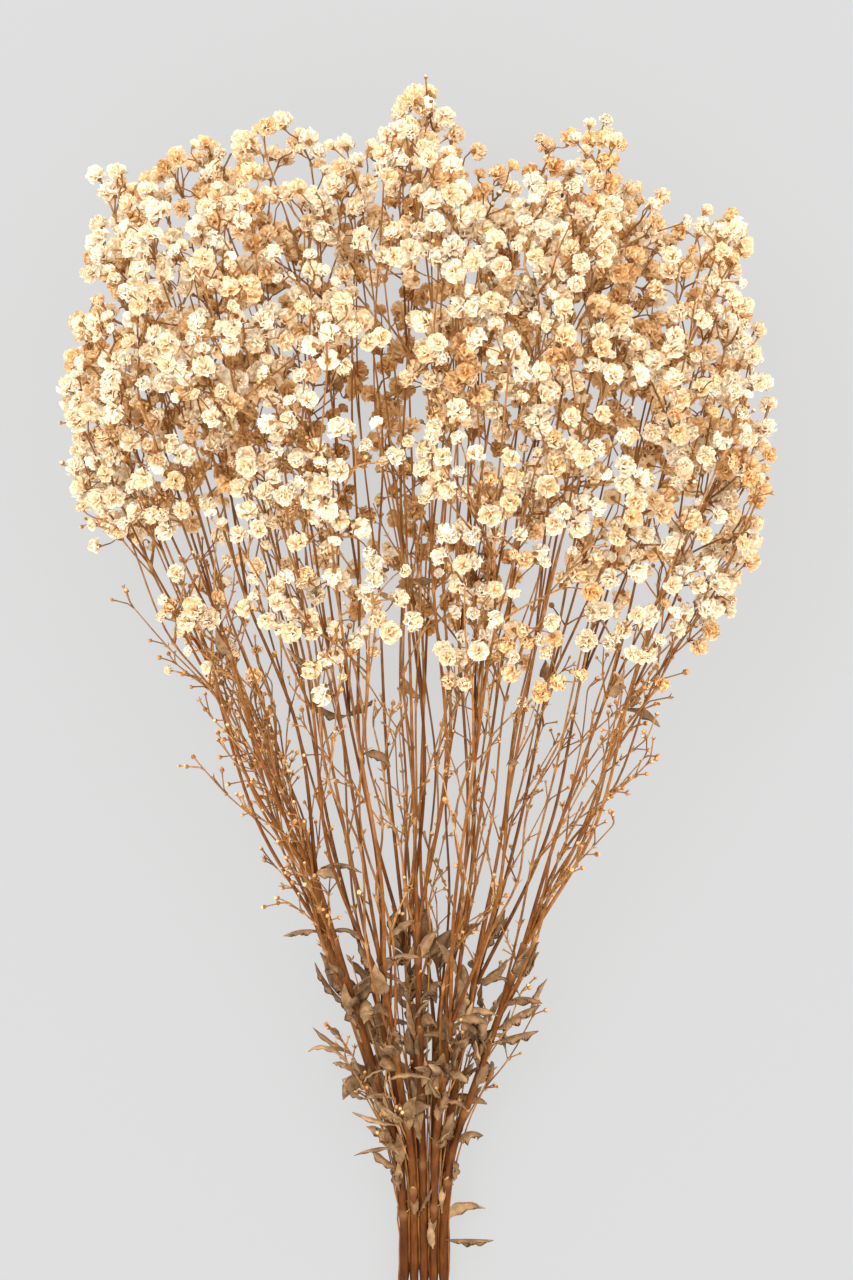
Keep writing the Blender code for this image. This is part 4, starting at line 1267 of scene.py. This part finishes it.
def dress_shoot(index, axis, level, wood, petals, prototypes, rng):
    """One side shoot with, at its nodes, side twigs that carry the buds, stars and blossoms."""
    length = np.linalg.norm(axis[-1] - axis[0])
    places = [to_world(place) for place in axis]
    add_twig(wood, places, *SHOOT_RADII[level:level + 2], places[1:-1], rng, SHOOT_ALONG[level])
    for node, above in zip(axis[1:-1], axis[2:]):
        heading = unit(above - node)
        add_bracts(wood, *posed(node, heading), SHOOT_BRACTS[level], rng)
        for _ in range(rng.integers(*SIDES_A_NODE)):
            if level:
                dress_tip(index, node, heading, wood, petals, prototypes, rng)
                continue
            way = turned_off(heading, SIDE_TURNS, rng)
            side = shoot_axis(index, node, way, length * rng.uniform(*SIDE_LENGTHS), SHOOT_NODES[1], rng)
            if side:
                dress_shoot(index, side, 1, wood, petals, prototypes, rng)
    for _ in range(SHOOT_TIPS):
        dress_tip(index, axis[-1], unit(axis[-1] - axis[-2]), wood, petals, prototypes, rng)


def dress_low_sprigs(index, leaves, wood, petals, prototypes, rng):
    """Short side shoots low on a stalk, with narrow curled leaves at their nodes."""
    _, _, slope_x, slope_d, fork_mm = STEMS[index]
    for _ in range(LOW_SPRIGS):
        for _ in range(SHOOT_TRIES):
            start = to_bunch(stalk_point(index, rng.uniform(*LOW_START) * fork_mm * MM))
            out = np.array([math.copysign(1.0, slope_x), rng.uniform(*LOW_SIDEWAYS), 0.0])
            line = unit(np.array([slope_x, slope_d, 1.0]))
            heading = unit(line + out * rng.uniform(*LOW_LEAN))
            axis = shoot_axis(index, start, heading, rng.uniform(*LOW_LENGTHS), SHOOT_NODES[1], rng)
            if not axis:
                continue
            dress_shoot(index, axis, 1, wood, petals, prototypes, rng)
            for node in axis[1:]:
                spine, side = random_spine(rng, *posed(node, heading), STEEP_LEAF_ANGLES)
                if leaf_samples(spine, side)[:, 2].min() > LEAF_HALF_THICKNESS:
                    add_leaf(leaves, spine, side, LOW_LEAF_WIDTH, rng)
            break


def dress_shoots(index, wood, petals, prototypes, rng):
    """Side shoots from a stalk up among the blossoms, more of them on the outermost stems."""
    _, _, slope_x, slope_d, fork_mm = STEMS[index]
    outer = abs(slope_x) > OUTER_STEM
    for _ in range(OUTER_SHOOTS if outer else SHOOTS):
        for _ in range(SHOOT_TRIES):
            slopes = np.array([slope_x, slope_d]) + rng.uniform(-1, 1, 2) * SHOOT_SPREAD
            if outer:
                slopes[0] += math.copysign(rng.uniform(0, OUTER_WIDER), slope_x)
            start = to_bunch(stalk_point(index, rng.uniform(*SHOOT_START) * fork_mm * MM))
            along = np.array([*slopes, 1.0]) * rng.uniform(*SHOOT_TOPS_MM) * MM - start
            axis = shoot_axis(index, start, unit(along), np.linalg.norm(along), SHOOT_NODES[0], rng)
            if axis:
                dress_shoot(index, axis, 0, wood, petals, prototypes, rng)
                break


# Leaves

LEAF_STEP = 1.3 * MM
LEAF_LEAN = 0.6
LEAF_THICKNESS = 0.16 * MM
LEAF_ROUND = np.array([-1.0, -0.5, 0.0, 0.5, 1.0, 0.5, 0.0, -0.5])
LEAF_FACE = np.array([0.0, 1.0, 1.0, 1.0, 0.0, -1.0, -1.0, -1.0])
LEAF_OUTLINE = ((0.0, 0.14), (0.08, 0.2), (0.25, 0.75), (0.45, 1.0), (0.7, 0.78), (0.88, 0.36), (1.0, 0.05))
LEAF_TWIST = 0.9
LEAF_FOLDS = (0.2, 0.6)
LEAF_WAVES = (2.0, 4.0)
WAVE_HEIGHT = 0.22
WAVE_ACROSS = 1.6
TIP_CURL = 0.5
EDGE_THINNER = 0.6
EDGE_INWARDS = 0.25
NODE_BRACT = 1.9 * MM


def add_leaf(leaves, spine, side, wide, rng):
    """Dry lance leaf: folded along its midrib, wavy and curled in at its edges, twisted towards its tip."""
    line = smooth_line(spine, LEAF_STEP)
    shares = shares_along(line)
    widths = wide * LEAF_HALF_WIDTH * np.interp(shares, *zip(*LEAF_OUTLINE))
    twist = rng.uniform(-LEAF_TWIST, LEAF_TWIST)
    fold = rng.uniform(*LEAF_FOLDS)
    waves = rng.uniform(*LEAF_WAVES)
    phase = any_angle(rng)
    edge = np.abs(LEAF_ROUND)
    reach_across = LEAF_ROUND * (1 - EDGE_INWARDS * LEAF_ROUND ** 4)
    faces = LEAF_FACE * LEAF_THICKNESS * (1 - EDGE_THINNER * edge)
    rows = []
    for middle, way, share, width in zip(line, ways_along(line), shares, widths):
        turned = unit(rotated(side - way * (side @ way), way, twist * share ** 2))
        wave = np.sin(math.tau * waves * share + phase + LEAF_ROUND * WAVE_ACROSS)
        curl = fold * edge + WAVE_HEIGHT * wave * edge + TIP_CURL * share * LEAF_ROUND ** 4
        lift = np.outer(width * curl + faces, np.cross(turned, way))
        rows.append(middle + np.outer(width * reach_across, turned) + lift)
    leaves.add(np.array(rows), grid(len(rows), len(edge), True), tone=rng.uniform(0, 1),
               along=np.repeat(shares, len(edge)), mark=np.tile(edge, len(rows)))


def dress_leaves(index, stem, leaves, wood, rng):
    """The stem's leaves, and a pair of bracts on each node of its stalk."""
    for spine, side, wide in stem["leaves"]:
        side = rotated(side, unit(spine[1] - spine[0]), rng.uniform(-LEAF_LEAN, LEAF_LEAN))
        add_leaf(leaves, spine, side, wide, rng)
    for s in stalk_nodes(index):
        add_bracts(wood, *stalk_spot(index, s), NODE_BRACT, rng)


# Foot: dry leaves and dead side shoots that lie along the stalks just above the tie

FOOT_LEAVES = 4
FOOT_LEAVES_AT = (5.0 * MM, 105.0 * MM)
FOOT_LEAF_ANGLES = (0.08, 0.42)
FOOT_LEAF_LENGTHS = (8.0 * MM, 15.0 * MM)
FOOT_LEAF_WIDTHS = (0.5, 1.05)
FOOT_LEAF_TURN = 0.75
FOOT_LEAF_OUT = 0.85
FOOT_SHOOTS_FROM = (-7.0 * MM, 4.0 * MM)
FOOT_SHOOT_LENGTHS = (60.0 * MM, 130.0 * MM)
FOOT_SHOOT_RADII = (0.55 * MM, 0.5 * 0.55 * MM)
FOOT_SHOOT_ALONG = (0.3, 0.6)
FOOT_SHOOT_ROOT = 0.5
FOOT_SHOOT_BRACT = 1.4 * MM
FOOT_SHOOT_POINTS = 11
FOOT_SHOOT_WAVER = 0.25 * MM
FOOT_SHOOT_INWARDS = 0.7 * MM
FOOT_SHOOT_TIP_OUT = 2.6 * MM


def foot_spot(line, along):
    """Point on a stalk's smooth line at a distance along the bunch, and the stalk's direction there."""
    low, high = (np.array([np.interp(y, line[:, 1], line[:, axis]) for axis in range(3)])
                 for y in (along, along + MM))
    return low, unit(high - low)


def dress_foot_leaves(line, leaves, rng):
    """Leaves on the open side of a front stalk, nearly in line with it."""
    for _ in range(FOOT_LEAVES):
        foot, heading = foot_spot(line, rng.uniform(*FOOT_LEAVES_AT))
        out = rotated(UP, heading, rng.normal(0, FOOT_LEAF_TURN))
        side = unit(np.cross(heading, out))
        way = unit(heading + out * rng.uniform(*FOOT_LEAF_ANGLES))
        length = rng.uniform(*FOOT_LEAF_LENGTHS)
        start = foot + out * FOOT_LEAF_OUT * STALK_RADIUS
        spine = curled(start, way, side, length, -rng.uniform(*LEAF_CURLS))
        add_leaf(leaves, spine, side, rng.uniform(*FOOT_LEAF_WIDTHS), rng)


def dress_foot_shoots(line, row, wood, rng):
    """A thin dead shoot up each side of a stalk, which leans away at its tip."""
    shares = np.linspace(0, 1, FOOT_SHOOT_POINTS)
    for sideways in (-1.0, 1.0):
        start = rng.uniform(*FOOT_SHOOTS_FROM)
        length = rng.uniform(*FOOT_SHOOT_LENGTHS)
        aside = STALK_RADIUS + rng.normal(0, FOOT_SHOOT_WAVER, FOOT_SHOOT_POINTS)
        aside += FOOT_SHOOT_TIP_OUT * shares ** 3
        aside[0] = FOOT_SHOOT_ROOT * STALK_RADIUS
        lifts = rng.normal(0, FOOT_SHOOT_WAVER, FOOT_SHOOT_POINTS) - row * FOOT_SHOOT_INWARDS
        points = [foot_spot(line, start + length * share)[0] + np.array([sideways * out, 0.0, lift])
                  for share, out, lift in zip(shares, aside, lifts)]
        add_twig(wood, points, *FOOT_SHOOT_RADII, [], rng, FOOT_SHOOT_ALONG)
        add_bracts(wood, points[-1], unit(points[-1] - points[-2]), FOOT_SHOOT_BRACT, rng)


# Tie: three turns of two-ply twine

PLY = 0.27 * TIE_THICKNESS
PLY_SIDES = 8
PLY_OUT = 0.85
TWINE_END = 2.1 * PLY
TWINE_STEPS = 260
TWINE_TWISTS = 46
TWINE_START = -0.4
TWINE_OVERLAP = 0.15
OVAL_SHARPNESS = 5


def oval_point(angle, clear):
    """Point at an angle on the rounded oblong round the stems, and the direction out of it."""
    way = np.array([math.cos(angle), 0.0, math.sin(angle)])
    along_x, _, along_z = np.tanh(OVAL_SHARPNESS * way)
    corner = np.array([2 * TIE_PITCH * along_x, TIE_Y, TIE_HEIGHT + ROW_HALF * along_z])
    return corner + way * (STALK_RADIUS + TIE_GAP + clear), way


def tie_piece(made_of):
    """Two plies twisted round each other, laid in turns along the solid tie."""
    shape = Shape()
    end = TIE_HALF_LENGTH - TWINE_END
    for strand in range(2):
        line = []
        for k in range(TWINE_STEPS):
            turns = (TIE_TURNS + TWINE_OVERLAP) * k / (TWINE_STEPS - 1)
            centre, way = oval_point(math.tau * turns + TWINE_START, 2 * PLY)
            centre[1] += min(2 * end / TIE_TURNS * turns - end, end)
            twist = math.tau * TWINE_TWISTS * k / TWINE_STEPS + strand * math.pi
            round_ply = way * math.cos(twist) + np.array([0.0, math.sin(twist), 0.0])
            line.append(centre + PLY * PLY_OUT * round_ply)
        add_tube(shape, np.array(line), PLY, PLY_SIDES, tone=0.5 * strand,
                 along=np.linspace(0, 1, TWINE_STEPS))
    shape.piece("tie_twine", made_of, "twine", "tie")


# Materials

def mixed(tree, blend, factor, first, second):
    """Mix of two colours. Each value is a socket or a plain one."""
    node = tree.nodes.new("ShaderNodeMix")
    node.data_type = "RGBA"
    node.blend_type = blend
    for socket, value in ((node.inputs["Factor"], factor), (node.inputs[6], first), (node.inputs[7], second)):
        if isinstance(value, bpy.types.NodeSocket):
            tree.links.new(value, socket)
        else:
            socket.default_value = value
    return node.outputs[2]


def multiplied(tree, *colours):
    product = colours[0]
    for colour in colours[1:]:
        product = mixed(tree, "MULTIPLY", 1.0, product, colour)
    return product


def scaled(tree, source, amount):
    node = tree.nodes.new("ShaderNodeMath")
    node.operation = "MULTIPLY"
    node.inputs[1].default_value = amount
    tree.links.new(source, node.inputs[0])
    return node.outputs[0]


def attribute(tree, name):
    node = tree.nodes.new("ShaderNodeAttribute")
    node.attribute_name = name
    return node.outputs["Fac"]


def ramp(tree, source, *stops):
    """Colours spread over a socket's value, as (position, colour) stops."""
    node = tree.nodes.new("ShaderNodeValToRGB")
    bands = node.color_ramp.elements
    while len(bands) < len(stops):
        bands.new(0.5)
    for band, (position, colour) in zip(bands, stops):
        band.position = position
        band.color = (*colour, 1.0)
    tree.links.new(source, node.inputs["Fac"])
    return node.outputs["Color"]


def grey(value):
    return (value, value, value)


def noise(tree, scale, detail, stretch=(1.0, 1.0, 1.0)):
    """Noise over the object's own coordinates, stretched along an axis."""
    place = tree.nodes.new("ShaderNodeTexCoord")
    mapping = tree.nodes.new("ShaderNodeMapping")
    mapping.inputs["Scale"].default_value = stretch
    tree.links.new(place.outputs["Object"], mapping.inputs["Vector"])
    node = tree.nodes.new("ShaderNodeTexNoise")
    node.inputs["Scale"].default_value = scale
    node.inputs["Detail"].default_value = detail
    tree.links.new(mapping.outputs["Vector"], node.inputs["Vector"])
    return node.outputs["Fac"]


def new_material(name, roughness):
    made = bpy.data.materials.new(name)
    made.use_nodes = True
    shader = made.node_tree.nodes["Principled BSDF"]
    shader.inputs["Roughness"].default_value = roughness
    return made, made.node_tree, shader


def finished(made, colour, height, strength, distance):
    """The material with its colour and its bumps."""
    tree = made.node_tree
    shader = tree.nodes["Principled BSDF"]
    tree.links.new(colour, shader.inputs["Base Color"])
    node = tree.nodes.new("ShaderNodeBump")
    node.inputs["Strength"].default_value = strength
    node.inputs["Distance"].default_value = distance
    tree.links.new(height, node.inputs["Height"])
    tree.links.new(node.outputs["Normal"], shader.inputs["Normal"])
    return made


def wood_material():
    made, tree, shader = new_material("dried stem", roughness=0.5)
    shader.inputs["Specular IOR Level"].default_value = 0.12
    # Darker towards the foot: partly the stalks' own colour, partly painted shade among the bundled lower
    # stalks
    by_height = ramp(tree, attribute(tree, "along"),
                     (0.0, (0.085, 0.022, 0.004)), (0.2, (0.15, 0.05, 0.011)), (0.4, (0.29, 0.115, 0.031)),
                     (0.7, (0.39, 0.20, 0.074)), (1.0, (0.44, 0.235, 0.095)))
    streaks = ramp(tree, noise(tree, scale=900.0, detail=3.0, stretch=(1.0, 0.12, 1.0)),
                   (0.3, grey(0.62)), (0.7, grey(1.25)))
    patches = ramp(tree, noise(tree, scale=60.0, detail=2.0),
                   (0.35, (0.72, 0.62, 0.55)), (0.65, (1.12, 1.12, 1.1)))
    by_tone = ramp(tree, attribute(tree, "tone"),
                   (0.0, (0.66, 0.58, 0.5)), (0.75, grey(1.0)), (1.0, (1.3, 1.4, 1.5)))
    colour = multiplied(tree, by_height, streaks, patches, by_tone)
    nearness = scaled(tree, attribute(tree, "mark"), 0.55)
    pale_nodes = mixed(tree, "MIX", nearness, colour, (0.60, 0.34, 0.15, 1.0))
    fibres = noise(tree, scale=1200.0, detail=3.0, stretch=(1.0, 0.1, 1.0))
    return finished(made, pale_nodes, fibres, strength=0.5, distance=0.15 * MM)


def blossom_material():
    made, tree, _ = new_material("dried blossom", roughness=0.8)
    # The tone ramp also renders the painted shade of clusters deep in the head and underneath, which the tone
    # carries
    by_tone = ramp(tree, attribute(tree, "tone"),
                   (0.0, (0.96, 0.94, 0.91)), (0.25, (0.96, 0.90, 0.80)), (0.55, (0.90, 0.68, 0.42)),
                   (1.0, (0.62, 0.35, 0.14)))
    # Petals darker and more orange towards their roots: partly their own colour, partly painted shade in the
    # crevices between petals
    root_tint_and_crevice_shade = ramp(tree, attribute(tree, "along"),
                  (0.0, (0.92, 0.64, 0.37)), (0.4, (0.99, 0.90, 0.76)), (0.85, grey(1.0)))
    to_heart = ramp(tree, attribute(tree, "mark"), (0.45, grey(1.0)), (1.0, (1.0, 0.93, 0.78)))
    mottle = ramp(tree, noise(tree, scale=500.0, detail=2.0), (0.35, (0.98, 0.87, 0.72)), (0.6, grey(1.0)))
    colour = multiplied(tree, by_tone, root_tint_and_crevice_shade, to_heart, mottle)
    return finished(made, colour, noise(tree, scale=1500.0, detail=2.0), strength=0.4, distance=0.2 * MM)


def leaf_material():
    made, tree, _ = new_material("dried leaf", roughness=0.7)
    by_tone = ramp(tree, attribute(tree, "tone"),
                   (0.0, (0.20, 0.108, 0.050)), (0.5, (0.31, 0.185, 0.098)), (1.0, (0.44, 0.29, 0.165)))
    patches = ramp(tree, noise(tree, scale=260.0, detail=4.0),
                   (0.35, (0.55, 0.5, 0.45)), (0.65, (1.25, 1.2, 1.1)))
    to_edge = ramp(tree, attribute(tree, "mark"),
                   (0.0, (1.15, 1.1, 1.0)), (0.12, grey(0.9)), (0.8, grey(0.95)), (1.0, (0.6, 0.5, 0.42)))
    colour = multiplied(tree, by_tone, patches, to_edge)
    veins = noise(tree, scale=700.0, detail=3.0, stretch=(1.0, 0.3, 1.0))
    return finished(made, colour, veins, strength=0.6, distance=0.25 * MM)


def twine_material():
    made, tree, _ = new_material("twine", roughness=0.9)
    fibres = ramp(tree, noise(tree, scale=2500.0, detail=3.0),
                  (0.3, (0.36, 0.24, 0.13)), (0.7, (0.68, 0.52, 0.32)))
    return finished(made, fibres, noise(tree, scale=3500.0, detail=3.0), strength=0.7, distance=0.1 * MM)


# The bunch

PROTOTYPE_SEED, DRESS_SEED = 5, 400

prototype_rng = np.random.default_rng(PROTOTYPE_SEED)
prototypes = [blossom_prototype(prototype_rng, 1.0 if k < PROTOTYPES // 2 else SHUT_OPENING)
              for k in range(PROTOTYPES)]
wood_look, leaf_look, blossom_look = wood_material(), leaf_material(), blossom_material()
taken = []
for index, stem in enumerate(grown_stems()):
    rng = np.random.default_rng(DRESS_SEED + index)
    wood, leaves, petals = Shape(), Shape(), Shape()
    node = f"stem_{index + 1:02d}"
    add_stalk(index, wood, stem, rng)
    dress_clusters(index, stem, wood, petals, prototypes, taken, rng)
    dress_sprigs(index, stem, wood, petals, rng)
    dress_shoots(index, wood, petals, prototypes, rng)
    dress_low_sprigs(index, leaves, wood, petals, prototypes, rng)
    dress_leaves(index, stem, leaves, wood, rng)
    row = STEMS[index][0]
    stalk = smooth_line(stem["stalk"], STALK_STEP)
    if row > 0:
        dress_foot_leaves(stalk, leaves, rng)
    dress_foot_shoots(stalk, row, wood, rng)
    wood.piece(node + "_wood", wood_look, "dried_stem", node)
    leaves.piece(node + "_leaves", leaf_look, "dried_leaf", node)
    petals.piece(node + "_blossoms", blossom_look, "dried_blossom", node, smooth=False)
tie_piece(twine_material())

# Floor, light and camera

PIXEL = 0.4 * MM
IMAGE_WIDTH, IMAGE_HEIGHT = 853, 1280
BUNCH_MIDDLE_PIXEL = 424
CAMERA_HEIGHT = 2.6
SENSOR_HEIGHT = 24.0
FLOOR_HALF = 6.0
LIGHT_AIM = (0.0, 0.05, 0.1)


def floor():
    """A plain pale floor that glows, so that the shadow on it stays faint."""
    mesh = bpy.data.meshes.new("floor")
    corners = [(x * FLOOR_HALF, y * FLOOR_HALF, 0) for x, y in ((-1, -1), (1, -1), (1, 1), (-1, 1))]
    mesh.from_pydata(corners, [], [(0, 1, 2, 3)])
    obj = linked("floor", mesh)
    made, _, shader = new_material("pale floor", roughness=0.9)
    shader.inputs["Base Color"].default_value = (0.045, 0.053, 0.065, 1.0)
    shader.inputs["Emission Color"].default_value = (1.0, 0.990, 0.981, 1.0)
    shader.inputs["Emission Strength"].default_value = 0.613
    mesh.materials.append(made)


def area_light(name, place, size, power, colour):
    data = bpy.data.lights.new(name, "AREA")
    data.shape = "DISK"
    data.size = size
    data.energy = power
    data.color = colour
    way = unit(np.array(LIGHT_AIM) - np.array(place))
    obj = linked(name, data)
    obj.location = place
    obj.rotation_euler = (math.acos(-way[2]), 0.0, math.atan2(way[0], -way[1]))


def camera():
    """Straight down on the bunch, with the photo's frame and scale at the surface."""
    data = bpy.data.cameras.new("camera")
    data.sensor_fit = "VERTICAL"
    data.sensor_height = SENSOR_HEIGHT
    data.lens = data.sensor_height * CAMERA_HEIGHT / (IMAGE_HEIGHT * PIXEL)
    obj = linked("camera", data)
    middle_x = SHIFT[0] + (IMAGE_WIDTH / 2 - BUNCH_MIDDLE_PIXEL) * PIXEL
    obj.location = (middle_x, SHIFT[1] + IMAGE_HEIGHT / 2 * PIXEL, CAMERA_HEIGHT)
    bpy.context.scene.camera = obj


def sky():
    world = bpy.data.worlds.new("studio")
    world.use_nodes = True
    background = world.node_tree.nodes["Background"]
    background.inputs["Color"].default_value = (1.0, 0.93, 0.80, 1.0)
    background.inputs["Strength"].default_value = 1.88
    bpy.context.scene.world = world


floor()
sky()
area_light("key", place=(-0.7, 0.8, 2.3), size=1.3, power=25.5, colour=(0.96, 0.975, 1.0))
area_light("fill", place=(1.3, -0.6, 1.8), size=1.4, power=13.0, colour=(1.0, 0.96, 0.90))
camera()
bpy.context.scene.view_settings.view_transform = "Standard"
